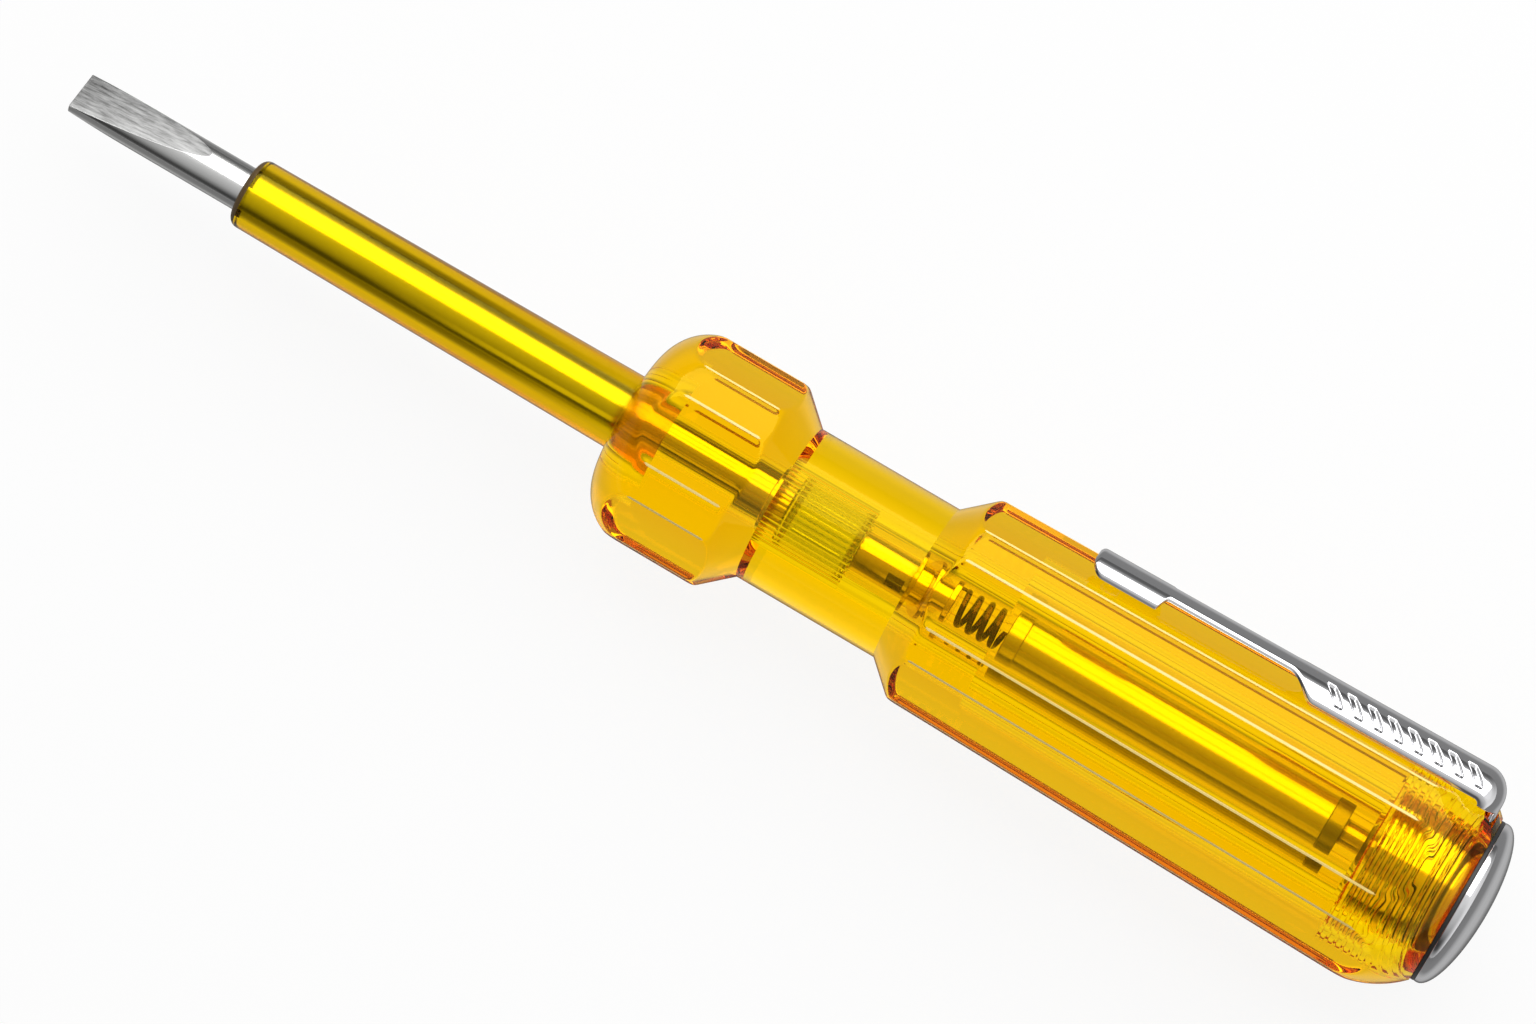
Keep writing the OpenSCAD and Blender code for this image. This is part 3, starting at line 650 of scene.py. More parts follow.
def handle_skin():
    """The outside of the handle: a spun outline with its flats pressed in."""
    knob_r = KNOB_R + RIDGE_MARGIN
    grip_r = GRIP_FRONT_R + RIDGE_MARGIN
    rear_r = GRIP_REAR_R + RIDGE_MARGIN
    end_angle = math.degrees(math.acos((HANDLE_END - GRIP_END) / END_ROUND))
    lead_x, lead_r = KNOB_FACE_LEAD
    face_edge = soften([(HANDLE_X, 0), (HANDLE_X, KNOB_FACE_R), (HANDLE_X + lead_x, KNOB_FACE_R + lead_r)],
                       KNOB_FACE_ROUND)[:-1]
    knob_top = arc(HANDLE_X + KNOB_FRONT_LEN, KNOB_FACE_R, KNOB_FRONT_LEN, knob_r - KNOB_FACE_R,
                   KNOB_ARC_START, 90, 56)
    knob_rear = arc(KNOB_END, knob_r - SHOULDER_ROUND, SHOULDER_ROUND, SHOULDER_ROUND,
                    90, 90 - SHOULDER_ANGLE, 10)
    grip_front = arc(GRIP_X, grip_r - SHOULDER_ROUND, SHOULDER_ROUND, SHOULDER_ROUND,
                     90 + SHOULDER_ANGLE, 90, 10)
    rear_round = arc(GRIP_END, rear_r - END_ROUND, END_ROUND, END_ROUND, 90, end_angle, 40)
    neck = [(NECK_X, NECK_R), (NECK_END, NECK_R)]
    points = (face_edge + knob_top + stretch(knob_top[-1], knob_rear[0], 8) + knob_rear
              + stretch(knob_rear[-1], neck[0], 26) + neck + stretch(neck[1], grip_front[0], 26)
              + grip_front + stretch(grip_front[-1], rear_round[0], 14) + rear_round
              + [(HANDLE_END, rear_round[-1][1] - END_BREAK), (HANDLE_END, 0)])
    skin = draw_profile("handle_shell", sorted_run(points))
    spin_profile(len(COLUMNS))
    mesh = bmesh.from_edit_mesh(skin.data)
    places = {}
    for v in mesh.verts:
        r = math.hypot(v.co.y, v.co.z) / MM
        turn = math.degrees(math.atan2(v.co.y, v.co.z)) % 360
        angle = COLUMNS[round(turn / 360 * len(COLUMNS)) % len(COLUMNS)]
        places[v] = (v.co.x / MM, angle, r)
    # Faces along the ridges take the second material, the painted ridge highlight
    for face in mesh.faces:
        x, angle, r = [sum(values) / len(face.verts) for values in zip(*[places[v] for v in face.verts])]
        angles = [places[v][1] for v in face.verts]
        crosses_seam = max(angles) - min(angles) > FLAT_TURN
        if on_ridge_highlight(x, angle, r) and not crosses_seam:
            face.material_index = 1
    for v, (x, angle, r) in places.items():
        wide, narrow = flat_radii(x, angle)
        r = soft_min(r, soft_min(wide, narrow)) * MM
        v.co.y = r * math.sin(math.radians(angle))
        v.co.z = r * math.cos(math.radians(angle))
    bmesh.update_edit_mesh(skin.data)
    face_out()
    skin.data.materials.append(AMBER)
    skin.data.materials.append(RIDGE_HIGHLIGHT)
    return skin


def thread_height(x, angle, crest_w):
    """0 at the root and 1 at the crest of the thread, with rounded flanks."""
    phase = ((x - PLUG_X) / PITCH - angle / 360) % 1
    off = abs(phase - 0.5) * PITCH - crest_w / 2
    t = min(max(1 - off / THREAD_FLANK, 0), 1)
    return t * t * (3 - 2 * t)


def cut_thread(piece, x0, x1, root, crest, crest_w):
    """Moves the points between x0 and x1 in edit mode onto a right-hand thread."""
    mesh = bmesh.from_edit_mesh(piece.data)
    for v in mesh.verts:
        x = v.co.x / MM
        r = math.hypot(v.co.y, v.co.z) / MM
        if x0 - NEAR < x < x1 + NEAR and abs(r - root) < NEAR:
            angle = math.degrees(math.atan2(v.co.z, v.co.y))
            grow = (root + (crest - root) * thread_height(x, angle, crest_w)) / r
            v.co.y *= grow
            v.co.z *= grow
    bmesh.update_edit_mesh(piece.data)


def cut_flutes(piece):
    """Presses fine flutes along the bore round the lamp, in edit mode."""
    mesh = bmesh.from_edit_mesh(piece.data)
    for v in mesh.verts:
        x = v.co.x / MM
        r = math.hypot(v.co.y, v.co.z) / MM
        if ROD_END - NEAR < x < BULB_END + NEAR and abs(r - LAMP_BORE_R) < NEAR:
            wave = 1 - math.cos(FLUTES * math.atan2(v.co.z, v.co.y))
            shrink = 1 - FLUTE_DEPTH / 2 * wave / r
            v.co.y *= shrink
            v.co.z *= shrink
    bmesh.update_edit_mesh(piece.data)


def handle_bores():
    """What is bored out of the handle: socket, stepped bores, tapped hole and mouth."""
    root = THREAD_ROOT_R + THREAD_GAP + TAP_BLUNT
    rows = round((MOUTH_X - TAP_X) / PITCH * PITCH_ROWS)
    before, behind = HANDLE_X - OVERRUN, HANDLE_END + OVERRUN
    steps = [(before, 0), (before, SOCKET_R), (SLEEVE_END, SOCKET_R), (SLEEVE_END, ROD_BORE_R),
             (COLLAR_X, ROD_BORE_R), (COLLAR_X, LAMP_BORE_R), (ROD_END - FLUTE_FADE, LAMP_BORE_R),
             (ROD_END, LAMP_BORE_R), (BULB_END, LAMP_BORE_R), (BULB_END + FLUTE_FADE, LAMP_BORE_R),
             (RING_X, LAMP_BORE_R), (RING_X, SPRING_BORE_R), (RESISTOR_BORE_X, SPRING_BORE_R),
             (RESISTOR_BORE_X, RESISTOR_BORE_R), (TAP_X - TAP_STEP, RESISTOR_BORE_R),
             (TAP_X, THREAD_ROOT_R)]
    tapped = [(TAP_X + (MOUTH_X - TAP_X) * i / rows, root) for i in range(rows + 1)]
    mouth = [(MOUTH_X, MOUTH_R), (behind, MOUTH_R), (behind, 0)]
    bores = draw_profile("handle_bores", steps + tapped + mouth)
    spin_profile(BORE_COLUMNS)
    cut_flutes(bores)
    cut_thread(bores, TAP_X, MOUTH_X, root, THREAD_CREST_R + THREAD_GAP, THREAD_CREST_W + 2 * THREAD_PLAY)
    face_out()
    return bores


def clip_place():
    """Where the clip's flat is: turned round the axis, out to the flat and tilted with the grip."""
    wide = math.cos(math.radians(WIDE_HALF))
    tilt = math.atan((GRIP_REAR_R - GRIP_FRONT_R) * wide / (GRIP_END - GRIP_X))
    out = Vector((CLIP_X, 0, grip_ridge(CLIP_X) * wide)) * MM
    return (Matrix.Rotation(math.radians(CLIP_ROLL), 4, "X") @ Matrix.Translation(out)
            @ Matrix.Rotation(-tilt, 4, "Y"))


CLIP_PLACE = clip_place()


def clip_slot_cutter():
    """The pocket in the rear of the handle that takes the foot of the clip."""
    sag = CLIP_ARCH_R - math.sqrt(CLIP_ARCH_R ** 2 - FOOT_HALF_W ** 2)
    depth = CLIP_SHEET + sag + 2 * FOOT_GAP + FOOT_SWING
    half = FOOT_HALF_W + FOOT_GAP
    low = (FOOT_GAP - depth, -half, CLIP_CREST - CLIP_BEND_R - FOOT_LEN - FOOT_GAP)
    return block("clip_slot", low, (depth, 2 * half, FOOT_LEN + 2 * OVERRUN), CLIP_PLACE)


def build_handle():
    skin = handle_skin()
    cut_away(skin, handle_bores())
    cut_away(skin, clip_slot_cutter())
    shade(skin, sharp=28)
    # The faces of the painted ridge highlight, kept through the cuts
    highlit_faces = [face.index for face in skin.data.polygons if face.material_index == 1]
    dress(skin, AMBER, "handle", "amber_plastic", "handle")
    skin.data.materials.append(RIDGE_HIGHLIGHT)
    for i in highlit_faces:
        skin.data.polygons[i].material_index = 1


# Blade and sleeve

def build_blade():
    """A round rod with two flats ground to a square tip."""
    outline = soften([(0, 0), (0, BLADE_R), (ROD_END, BLADE_R), (ROD_END, 0)], CUP_EDGE, 2)
    blade = turned("blade_rod", outline, LARGE_STEPS)
    slope = math.atan((BLADE_R - TIP_T / 2) / GRIND_LEN)
    for side in (0, 180):
        place = (Matrix.Rotation(math.radians(side - GRIND_ROLL), 4, "X")
                 @ Matrix.Translation((0, 0, TIP_T / 2 * MM)) @ Matrix.Rotation(-slope, 4, "Y"))
        size = (GRIND_LEN + 2 * OVERRUN, 4 * BLADE_R, 2 * BLADE_R)
        cut_away(blade, block("grind", (-OVERRUN, -2 * BLADE_R, 0), size, place))
    apply_modifier(blade, "BEVEL", width=BLADE_BEVEL * MM, segments=3, limit_method="ANGLE",
                   angle_limit=math.radians(25))
    shade(blade, sharp=40)
    dress(blade, STEEL, "handle", "blade_steel", "blade")
    upright = Matrix.Rotation(math.radians(GRIND_ROLL), 3, "X")
    level = math.cos(slope) - FLAT_MARGIN
    paint(blade, GROUND_STEEL, lambda face: (face.center.x < GRIND_LEN * MM
                                             and abs((upright @ face.normal).z) > level))


def build_sleeve():
    """The clear sleeve, drawn tight on the rod so that no air shows between them."""
    grip = BLADE_R - SLEEVE_HUG
    end = SLEEVE_END - SLEEVE_INSET
    front_end = SLEEVE_X + SLEEVE_ROUND
    front = arc(front_end, SLEEVE_FRONT_R - SLEEVE_ROUND, SLEEVE_ROUND, SLEEVE_ROUND, 180, 90, 10)
    points = ([(SLEEVE_X, grip)] + front
              + [(HANDLE_X, SLEEVE_REAR_R), (end, SLEEVE_REAR_R), (end, grip), (SLEEVE_X, grip)])
    sleeve = turned("blade_sleeve_tube", points, FINE_STEPS)
    dress(sleeve, SLEEVE, "handle", "sleeve_plastic", "blade_sleeve")
    paint(sleeve, CUT_END, lambda face: face.center.x < front_end * MM and face.normal.x < CUT_END_SLOPE)


# Lamp and contacts

def build_lamp():
    glass = turned("lamp_bulb", soften(
        [(GLASS_FRONT, 0), (GLASS_FRONT, SEAL_R), (BULB_X, SEAL_R), (BULB_X, GLASS_R), (BULB_END, GLASS_R),
         (BULB_END, SEAL_R), (REAR_SEAL_END, SEAL_R), (REAR_SEAL_END, 0)], GLASS_ROUND, 5))
    room_r = GLASS_R - GLASS_WALL
    room = turned("lamp_room", soften(
        [(BULB_X + GLASS_WALL, 0), (BULB_X + GLASS_WALL, room_r), (BULB_END - GLASS_WALL, room_r),
         (BULB_END - GLASS_WALL, 0)], ROOM_ROUND, 6))
    cut_away(glass, room)
    shade(glass, sharp=50)
    dress(glass, GLASS, "handle", "lamp_glass", "lamp_glass")
    front = turned("lamp_front_cup", soften(
        [(ROD_END, 0), (ROD_END, LAMP_CUP_R), (BULB_X, LAMP_CUP_R), (BULB_X, LAMP_CUP_BORE_R),
         (GLASS_FRONT, LAMP_CUP_BORE_R), (GLASS_FRONT, 0)], CUP_EDGE))
    dress(front, LAMP_BRASS, "handle", "lamp_brass", "lamp_front_cap")
    floor_x = RING_X - LAMP_CUP_FLOOR
    rear = turned("lamp_rear_ferrule", soften(
        [(floor_x, 0), (floor_x, LAMP_CUP_BORE_R), (BULB_END, LAMP_CUP_BORE_R), (BULB_END, LAMP_CUP_R),
         (RING_X, LAMP_CUP_R), (RING_X, 0)], CUP_EDGE))
    slot_x = floor_x - LAMP_CUP_FLOOR - SLOT_LEN
    roll = Matrix.Rotation(math.radians(SLOT_ROLL), 4, "X")
    size = (SLOT_LEN, SLOT_W, LAMP_CUP_R + OVERRUN)
    cut_away(rear, block("ferrule_slot", (slot_x, -SLOT_W / 2, 0), size, roll))
    shade(rear)
    dress(rear, LAMP_BRASS, "handle", "lamp_brass", "lamp_rear_cap")


def build_contacts():
    ring = turned("lamp_ring_turned", soften(
        [(RING_X, RING_HOLE_R), (RING_X, RING_R), (RING_END, RING_R), (RING_END, RING_HOLE_R),
         (RING_X, RING_HOLE_R)], RING_EDGE))
    dress(ring, LAMP_BRASS, "handle", "lamp_brass", "lamp_ring")
    seat_x = SPRING_X - SEAT_T
    stub_r = RING_HOLE_R - FIT
    nipple = turned("contact_nipple_turned", soften(
        [(RING_X, 0), (RING_X, stub_r), (RING_END, stub_r), (RING_END, NIPPLE_R), (seat_x, NIPPLE_R),
         (seat_x, SEAT_R), (SPRING_X, SEAT_R), (SPRING_X, 0)], SEAT_EDGE))
    dress(nipple, PLUG_BRASS, "handle", "plug_brass", "contact_nipple")


def build_spring():
    """One unbroken wire: a straight stub at each seat and a widening helix between."""
    length = RESISTOR_X - SPRING_X
    path = []
    for i in range(SPRING_STEPS + 1):
        t = i / SPRING_STEPS
        r = (SPRING_FRONT_D + (SPRING_REAR_D - SPRING_FRONT_D) * t - SPRING_WIRE) / 2
        a = math.tau * SPRING_TURNS * t
        x = SPRING_X + SPRING_WIRE + (length - 2 * SPRING_WIRE) * t
        path.append((x, r * math.cos(a), r * math.sin(a)))
    path = [(SPRING_X, *path[0][1:])] + path + [(RESISTOR_X, *path[-1][1:])]
    curve = bpy.data.curves.new("contact_spring_wire", "CURVE")
    curve.dimensions = "3D"
    curve.bevel_depth = SPRING_WIRE / 2 * MM
    curve.bevel_resolution = 4
    curve.use_fill_caps = True
    line = curve.splines.new("POLY")
    line.points.add(len(path) - 1)
    for point, place in zip(line.points, path):
        point.co = (*[c * MM for c in place], 1)
    spring = bpy.data.objects.new("contact_spring_wire", curve)
    bpy.context.collection.objects.link(spring)
    select_only(spring)
    bpy.ops.object.convert(target="MESH")
    spring = bpy.context.object
    shade(spring, sharp=60)
    spring.data.materials.clear()
    spring.data.materials.append(SPRING_BRASS)
    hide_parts("contact_spring")
    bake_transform(spring)


# Resistor and touch cap

def build_resistor():
    core_r = RESISTOR_CUP_R - SNUG
    front, rear = RESISTOR_X + RESISTOR_CAP_WALL, RESISTOR_END - RESISTOR_CAP_WALL
    front_step, rear_step = RESISTOR_X + RESISTOR_CAP_LEN, RESISTOR_END - RESISTOR_CAP_LEN
    film = turned("resistor_rod", soften(
        [(front, 0), (front, core_r), (front_step, core_r), (front_step, RESISTOR_R),
         (rear_step, RESISTOR_R), (rear_step, core_r), (rear, core_r), (rear, 0)], THIN_EDGE), LARGE_STEPS)
    dress(film, FILM, "core", "resistor_film", "resistor_body")
    ends = (("front", RESISTOR_X, 1, BRIGHT_CAP), ("rear", RESISTOR_END, -1, CAP_METAL))
    for name, x, side, finish in ends:
        lip = x + side * RESISTOR_CAP_LEN
        floor = x + side * RESISTOR_CAP_WALL
        cup = turned("resistor_" + name + "_cup", soften(
            [(x, 0), (x, RESISTOR_CAP_R), (lip, RESISTOR_CAP_R), (lip, RESISTOR_CUP_R),
             (floor, RESISTOR_CUP_R), (floor, 0)], RING_EDGE), LARGE_STEPS)
        dress(cup, finish, "core", "resistor_cap", "resistor_" + name + "_cap")


def is_thread_root(face):
    """Whether a face of the plug lies in the root of its thread, where shade is painted."""
    x, y, z = face.center / MM
    low, high = ROOT_SHADE_SPAN
    return PLUG_X < x < THREAD_END and low < math.hypot(y, z) - THREAD_ROOT_R < high


def build_touch_cap():
    flange_x = PLUG_X - NOSE_GROOVE
    groove_x = flange_x - NOSE_GROOVE
    groove_r = NOSE_R - NOSE_GROOVE
    flange_r = NOSE_R + NOSE_GROOVE / 2
    nose = turned("plug_nose_pin", soften(
        [(RESISTOR_END, 0), (RESISTOR_END, NOSE_R), (groove_x, NOSE_R), (groove_x, groove_r),
         (flange_x, groove_r), (flange_x, flange_r), (PLUG_X, flange_r), (PLUG_X, STEM_R),
         (NOSE_END, STEM_R), (NOSE_END, 0)], THIN_EDGE))
    dress(nose, LAMP_BRASS, "end_cap", "lamp_brass", "plug_nose")
    rows = round(THREAD_LEN / PITCH * PITCH_ROWS)
    thread = [(PLUG_X + THREAD_LEN * i / rows, THREAD_ROOT_R) for i in range(rows + 1)]
    hole_r, hole_end = STEM_R + SNUG, NOSE_END + SNUG
    plug = draw_profile("end_plug_screw", [(hole_end, 0), (hole_end, hole_r), (PLUG_X, hole_r)] + thread
                        + [(THREAD_END, BAND_R), (BAND_END, BAND_R), (BAND_END, TAIL_R), (TAIL_END, TAIL_R),
                           (TAIL_END, 0)])
    spin_profile(FINE_STEPS)
    cut_thread(plug, PLUG_X, THREAD_END, THREAD_ROOT_R, THREAD_CREST_R, THREAD_CREST_W)
    face_out()
    shade(plug, sharp=40)
    dress(plug, PLUG_BRASS, "end_cap", "plug_brass", "end_plug")
    # The thread's roots get painted shade
    paint(plug, ROOT_SHADE_BRASS, is_thread_root)
    hole = BAND_R + FIT
    washer = turned("cap_seal", soften(
        [(HANDLE_END, hole), (HANDLE_END, DOME_R), (BAND_END, DOME_R), (BAND_END, hole),
         (HANDLE_END, hole)], CUP_EDGE), LARGE_STEPS)
    dress(washer, SEAL, "end_cap", "black_seal", "cap_washer")
    rim_x = BAND_END + DOME_RIM
    crown = arc(rim_x, 0, DOME_END - rim_x, DOME_R, 90, 0, 24)
    edge = soften([(BAND_END, DOME_R - DOME_LAND), (BAND_END, DOME_R), (rim_x, DOME_R)], SEAT_EDGE)[:-1]
    pocket_r, pocket_end = TAIL_R + SNUG, TAIL_END + FIT
    pocket = [(pocket_end, 0), (pocket_end, pocket_r), (BAND_END, pocket_r)]
    dome = turned("cap_dome_crown", pocket + edge + crown, LARGE_STEPS)
    dress(dome, CHROME, "end_cap", "chrome", "cap_dome")


# Pocket clip

ARM_S = HEAD_LEN
TAIL_S = HEAD_LEN + ARM_LEN
BEND_S = CLIP_LEN - CLIP_BEND_R
TURN_S = BEND_S + CLIP_BEND_R * math.pi / 2


def ease(a, b, t):
    return a + (b - a) * t * t * (3 - 2 * t)


def clip_half_width(s):
    """Half the clip's width across, by distance from the front of the head."""
    full = CLIP_HALF_W
    if s < HEAD_ROUND:
        return HEAD_HALF_W - HEAD_ROUND + math.sqrt(max(HEAD_ROUND ** 2 - (HEAD_ROUND - s) ** 2, 0.0))
    if s < ARM_S - HEAD_STEP:
        return HEAD_HALF_W
    if s < ARM_S:
        return ease(HEAD_HALF_W, ARM_HALF_W, (s - ARM_S + HEAD_STEP) / HEAD_STEP)
    if s < TAIL_S:
        return ARM_HALF_W
    if s < TAIL_S + TAIL_STEP:
        return ease(ARM_HALF_W, full, (s - TAIL_S) / TAIL_STEP)
    if s < TURN_S:
        return full
    return ease(full, FOOT_HALF_W, min((s - TURN_S) / FOOT_STEP, 1))


def groove_depth(s, v):
    """How deep the slanted grooves of the tail are pressed at a point."""
    u = s - CLIP_LEN
    first = -CLIP_BEND_R - GROOVE_W
    slant = math.radians(GROOVE_SLANT)
    reach = v * GROOVE_SIDE
    if not GROOVE_IN < reach < GROOVE_OUT:
        return 0.0
    fade = min(reach - GROOVE_IN, GROOVE_OUT - reach) / GROOVE_FADE
    ends = ease(0, 1, min(fade, 1))
    middle = (GROOVE_IN + GROOVE_OUT) / 2
    for i in range(GROOVE_COUNT):
        off = abs(u - (first - i * GROOVE_PITCH) - (reach - middle) * math.tan(slant)) * math.cos(slant)
        if off < GROOVE_W / 2:
            wall = min((GROOVE_W / 2 - off) / GROOVE_WALL, 1)
            return GROOVE_DEPTH * ends * ease(0, 1, wall)
    return 0.0


def edge_roll(s, v):
    """How far the sides and the front of the clip roll down towards their edges."""
    room = min(clip_half_width(s) - abs(v), s)
    t = min(max(1 - room / CLIP_ROLL_R, 0), CLIP_ROLL_LIMIT)
    return CLIP_ROLL_R * (1 - math.sqrt(1 - t * t))


def clip_rows():
    """Places along the strip, close together where its outline or grooves change."""
    head_end, arm_start = ARM_S - HEAD_STEP - HEAD_MARGIN, ARM_S + HEAD_MARGIN
    tail_end, foot_start = TAIL_S + TAIL_STEP, TURN_S + FOOT_STEP
    runs = [(0, HEAD_ROUND, 26), (HEAD_ROUND, head_end, 8), (head_end, arm_start, 14),
            (arm_start, TAIL_S, 10), (TAIL_S, tail_end, 16), (tail_end, BEND_S, 280), (BEND_S, TURN_S, 22),
            (TURN_S, foot_start, 8), (foot_start, TURN_S + FOOT_LEN, 5)]
    return [a + (b - a) * i / n for a, b, n in runs for i in range(n)] + [TURN_S + FOOT_LEN]


def clip_point(s, q):
    """A point of the clip's outer face in its flat's frame: s along the strip, q across it from -1 to 1."""
    half = math.asin(clip_half_width(s) / CLIP_ARCH_R)
    v = CLIP_ARCH_R * math.sin(q * half)
    sink = groove_depth(s, v) + edge_roll(s, v)
    v -= sink * math.sin(q * half)
    down = CLIP_ARCH_R * (1 - math.cos(q * half)) + sink * math.cos(q * half)
    if s < BEND_S:
        return Vector((s - CLIP_LEN, v, CLIP_CREST - down))
    turn = min((s - BEND_S) / CLIP_BEND_R, math.pi / 2)
    r = CLIP_BEND_R - down
    below = max(s - TURN_S, 0)
    up = CLIP_CREST - CLIP_BEND_R + r * math.cos(turn) - below
    return Vector((-CLIP_BEND_R + r * math.sin(turn), v, up))


def build_clip():
    rows = clip_rows()
    clip = new_piece("clip_strip", bpy.ops.mesh.primitive_grid_add, x_subdivisions=len(rows) - 1,
                     y_subdivisions=CLIP_COLUMNS, size=2)
    clip.data.name = "clip_strip"
    for v in clip.data.vertices:
        row = round((v.co.x + 1) / 2 * (len(rows) - 1))
        v.co = CLIP_PLACE @ (clip_point(rows[row], v.co.y) * MM)
    apply_modifier(clip, "SOLIDIFY", thickness=CLIP_SHEET * MM, offset=-1)
    dimple = new_piece("dimple", bpy.ops.mesh.primitive_uv_sphere_add, segments=48, ring_count=24,
                       radius=DIMPLE_R * MM)
    spot = Vector((-CLIP_LEN + DIMPLE_BACK, 0, DIMPLE_R + DIMPLE_GAP)) * MM
    dimple.data.transform(CLIP_PLACE @ Matrix.Translation(spot))
    apply_modifier(clip, "BOOLEAN", operation="UNION", object=dimple, solver="EXACT")
    bpy.data.objects.remove(dimple)
    bpy.ops.object.mode_set(mode="EDIT")
    face_out()
    shade(clip, sharp=40)
    dress(clip, CHROME, "clip", "chrome", "pocket_clip")


build_handle()
build_blade()
build_sleeve()
build_lamp()
build_contacts()
build_spring()
build_resistor()
build_touch_cap()
build_clip()

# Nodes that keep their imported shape
packed = {"blade_collar": STEEL, "lamp_front_electrode": NICKEL, "lamp_rear_electrode": NICKEL}
for name, material in packed.items():
    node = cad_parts[name]
    node.data.materials.clear()
    node.data.materials.append(material)


# Floor, light and camera

# How bright the floor is in metal and through clear plastic, from seen straight down to seen flat
FLOOR_IN_METAL = ((0.0, 0.05), (0.03, 0.15), (0.09, 0.42), (0.2, 0.45), (0.3, 0.36), (0.45, 0.18),
                  (1.0, 0.15))
FLOOR_THROUGH = ((0.0, 1.0), (0.08, 1.0), (0.15, 0.88), (0.27, 0.88), (0.36, 1.0), (0.66, 1.0), (0.82, 0.5),
                 (1.0, 0.25))
FLOOR_BY_SLEEVE = ((0.0, 1.0), (0.2, 1.0), (0.35, 0.6), (0.5, 0.25), (1.0, 0.12))
# Where the floor seen through plastic changes from the sleeve's levels to the handle's, from its front
FLOOR_CHANGE = (-15, 5)
# How much of the floor glows for the eye, in metal and through plastic; the rest is lit paper
WHITE_SEEN = 0.9
WHITE_IN_METAL = 0.92
WHITE_THROUGH = 0.95
PAPER_LEVEL = 0.9
FLOOR_SIZE = 6
FLOOR_X = 0.065


def grey(level):
    return (level, level, level, 1)


def level_ramp(tree, height, levels, x, y):
    """Grey levels by height, as a ramp of (height, level) stops."""
    node = add(tree, "ShaderNodeValToRGB", x, y, Fac=height)
    stops = node.color_ramp.elements
    for stop, (position, level) in zip(stops, (levels[0], levels[-1])):
        stop.position = position
        stop.color = grey(level)
    for position, level in levels[1:-1]:
        stops.new(position).color = grey(level)
    return node.outputs["Color"]


def build_floor():
    """A pale floor that shows white, with the tool's soft shadow kept in it. It reads greyer in metal, and
    through the clear plastic it darkens towards the horizon."""
    floor = new_piece("floor", bpy.ops.mesh.primitive_plane_add, size=FLOOR_SIZE,
                      location=(FLOOR_X, 0, cad_box[0][2]))
    material = bpy.data.materials.new("Pale floor")
    tree = blank_tree(material)
    rays = add(tree, "ShaderNodeLightPath", -900, 300)
    seen, clear = rays.outputs["Is Camera Ray"], rays.outputs["Is Transmission Ray"]
    mirror = add_math(tree, "SUBTRACT", -500, 200, rays.outputs["Is Glossy Ray"], clear)
    mirror = add_math(tree, "MAXIMUM", -350, 200, mirror, 0.0)
    facing = add(tree, "ShaderNodeLayerWeight", -1200, -200, Blend=0.5).outputs["Facing"]
    in_metal = level_ramp(tree, facing, FLOOR_IN_METAL, -900, -100)
    by_handle = level_ramp(tree, facing, FLOOR_THROUGH, -900, -400)
    by_sleeve = level_ramp(tree, facing, FLOOR_BY_SLEEVE, -900, -700)
    spot = add(tree, "ShaderNodeNewGeometry", -1500, -500)
    split = add(tree, "ShaderNodeSeparateXYZ", -1300, -500, Vector=spot.outputs["Position"])
    start, end = [(HANDLE_X + x) * MM for x in FLOOR_CHANGE]
    beside = add(tree, "ShaderNodeMapRange", -1100, -900, Value=split.outputs["X"], From_Min=start,
                 From_Max=end)
    through = mix_colours(tree, beside.outputs["Result"], by_sleeve, by_handle, -500, -500)
    level = add_math(tree, "MULTIPLY", -150, -40, mirror, in_metal)
    level_through = add_math(tree, "MULTIPLY", -150, -240, clear, through)
    level = add_math(tree, "ADD", 0, -120, level, level_through)
    level = add_math(tree, "ADD", 150, -120, level, seen)
    eye = add_math(tree, "MULTIPLY", -150, 400, seen, WHITE_SEEN)
    metal_share = add_math(tree, "MULTIPLY", -150, 300, mirror, WHITE_IN_METAL)
    lens = add_math(tree, "MULTIPLY", -150, 200, clear, WHITE_THROUGH)
    share = add_math(tree, "MAXIMUM", 0, 350, eye, metal_share)
    share = add_math(tree, "MAXIMUM", 150, 300, share, lens)
    paper = add(tree, "ShaderNodeBsdfDiffuse", 300, 100, Color=grey(PAPER_LEVEL))
    white = add(tree, "ShaderNodeEmission", 300, -100, Color=grey(1.0), Strength=level)
    mix = add(tree, "ShaderNodeMixShader", 600, 0, Fac=share)
    feed(tree, mix, {1: paper.outputs["BSDF"], 2: white.outputs["Emission"]})
    add(tree, "ShaderNodeOutputMaterial", 900, 0, Surface=mix.outputs["Shader"])
    floor.data.materials.append(material)


# How bright the studio is in metal and plastic by the height of the direction, on its dark and lit sides
DARK_SIDE = ((0.0, 0.45), (0.17, 0.2), (0.26, 0.06), (0.4, 0.04), (0.5, 0.07), (0.64, 0.22), (0.8, 0.42),
             (0.91, 0.52), (0.98, 0.62), (1.0, 0.7))
LIT_SIDE = ((0.0, 0.1), (0.17, 0.12), (0.3, 0.35), (0.4, 0.7), (0.6, 0.8), (0.98, 0.8), (1.0, 0.7))
SIDE_BLEND = 0.2
# How far the two ends of the studio are lifted towards white, and the plain level that lights the tool
END_LIFT = 0.8
PLAIN_LEVEL = 0.3


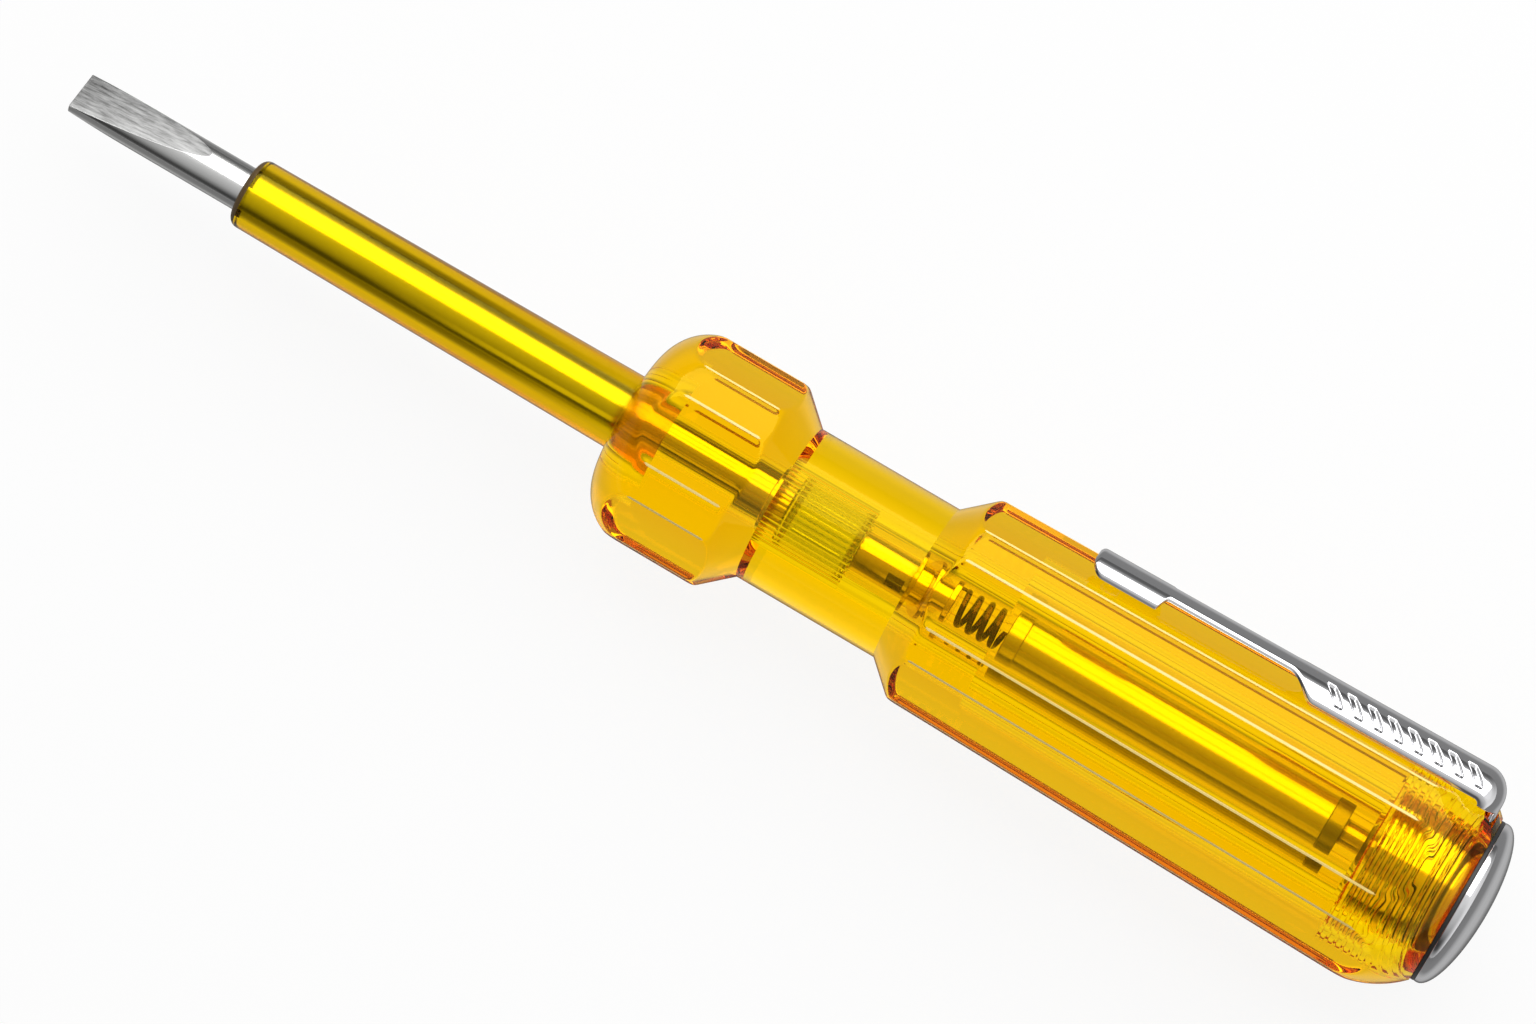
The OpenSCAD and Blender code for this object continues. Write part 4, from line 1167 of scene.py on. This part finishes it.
def build_world():
    """A soft studio: plain light all round, seen in metal and plastic as a dark side and a lit side."""
    world = bpy.data.worlds.new("Studio")
    bpy.context.scene.world = world
    tree = blank_tree(world)
    place = add(tree, "ShaderNodeTexCoord", -900, 0)
    split = add(tree, "ShaderNodeSeparateXYZ", -700, 0, Vector=place.outputs["Generated"])
    along, across, height = split.outputs
    rays = add(tree, "ShaderNodeLightPath", -400, 500)
    mirror, clear = rays.outputs["Is Glossy Ray"], rays.outputs["Is Transmission Ray"]
    dark = level_ramp(tree, height, DARK_SIDE, -400, 200)
    lit = level_ramp(tree, height, LIT_SIDE, -400, -100)
    side = add(tree, "ShaderNodeMapRange", -400, -400, Value=across, From_Min=-SIDE_BLEND,
               From_Max=SIDE_BLEND)
    studio = mix_colours(tree, side.outputs["Result"], dark, lit, 0, 100)
    ends = add_math(tree, "MULTIPLY", -400, -600, along, along)
    ends = add_math(tree, "MULTIPLY", -200, -600, ends, END_LIFT)
    behind = add_math(tree, "GREATER_THAN", -400, -800, along, 0.0)
    behind = add_math(tree, "MULTIPLY", -200, -800, behind, mirror)
    lifted = add_math(tree, "MAXIMUM", 0, -800, behind, clear)
    lift = add_math(tree, "MULTIPLY", 0, -200, ends, lifted)
    studio = mix_colours(tree, lift, studio, grey(1.0), 150, 100)
    seen = add_math(tree, "MAXIMUM", 0, 400, mirror, clear)
    colour = mix_colours(tree, seen, grey(PLAIN_LEVEL), studio, 300, 0)
    light = add(tree, "ShaderNodeBackground", 700, 0, Color=colour, Strength=1.0)
    add(tree, "ShaderNodeOutputWorld", 900, 0, Surface=light.outputs["Background"])


# A pale card beside the handle, on the side away from the clip: rise in degrees, the rest in metres
CARD_RISE = 36
CARD_AWAY = 0.15
CARD_SIZE = (0.3, 0.055)
CARD_LEVEL = 0.9


def build_card():
    """A card that only shows through the handle's plastic and brightens its edges."""
    card = new_piece("card", bpy.ops.mesh.primitive_plane_add, size=1)
    rise = math.radians(CARD_RISE)
    middle = (HANDLE_X * MM + CARD_SIZE[0] / 2, -CARD_AWAY * math.cos(rise), CARD_AWAY * math.sin(rise))
    turn = Matrix.Rotation(-math.pi / 2 - rise, 4, "X")
    card.data.transform(Matrix.Translation(middle) @ turn @ Matrix.Diagonal((*CARD_SIZE, 1, 1)))
    material = bpy.data.materials.new("Pale card")
    tree = blank_tree(material)
    rays = add(tree, "ShaderNodeLightPath", -300, 0)
    level = add_math(tree, "MULTIPLY", -100, 0, rays.outputs["Is Transmission Ray"], CARD_LEVEL)
    white = add(tree, "ShaderNodeEmission", 100, 0, Color=grey(1.0), Strength=level)
    add(tree, "ShaderNodeOutputMaterial", 300, 0, Surface=white.outputs["Emission"])
    card.data.materials.append(material)
    card.visible_camera = False
    card.visible_diffuse = False
    card.visible_glossy = False
    card.visible_shadow = False


# The softbox on the clip's side: lean in degrees, distance and size in metres, and power
SOFTBOX_LEAN = 39
SOFTBOX_AWAY = 0.5
SOFTBOX_SIZE = (0.9, 0.55)
SOFTBOX_POWER = 3.6


def build_lights():
    turn = math.radians(SOFTBOX_LEAN)
    middle = (HANDLE_END / 2 * MM, SOFTBOX_AWAY * math.sin(turn), SOFTBOX_AWAY * math.cos(turn))
    lamp = new_piece("Softbox", bpy.ops.object.light_add, type="AREA", location=middle,
                     rotation=(-turn, 0, 0))
    lamp.data.shape = "RECTANGLE"
    lamp.data.size, lamp.data.size_y = SOFTBOX_SIZE
    lamp.data.energy = SOFTBOX_POWER


# The camera: what it looks at and where it is in millimetres, its lean in degrees and its lens
CAMERA_TARGET = (65.1, -1.1, 0)
CAMERA_SPOT = (123.0, -31.2, 601.5)
CAMERA_LEAN = 30.4
CAMERA_LENS = 178.1


def build_camera():
    """Almost straight down, leaning a little, so that the tool runs from top left to bottom right."""
    target = Vector(CAMERA_TARGET) * MM
    spot = Vector(CAMERA_SPOT) * MM
    lean = math.radians(CAMERA_LEAN)
    back = (spot - target).normalized()
    along = Vector((1, 0, 0))
    along = (along - along.dot(back) * back).normalized()
    across = back.cross(along)
    right = math.cos(lean) * along + math.sin(lean) * across
    up = -math.sin(lean) * along + math.cos(lean) * across
    data = bpy.data.cameras.new("Camera")
    data.sensor_width = 36
    data.lens = CAMERA_LENS
    data.clip_end = 10
    camera = bpy.data.objects.new("Camera", data)
    bpy.context.collection.objects.link(camera)
    camera.matrix_world = Matrix.Translation(spot) @ Matrix((right, up, back)).transposed().to_4x4()
    bpy.context.scene.camera = camera


build_floor()
build_world()
build_card()
build_lights()
build_camera()
scene = bpy.context.scene
scene.view_settings.view_transform = "Standard"
scene.cycles.max_bounces = 32
scene.cycles.transmission_bounces = 32
scene.cycles.glossy_bounces = 12
scene.cycles.diffuse_bounces = 4
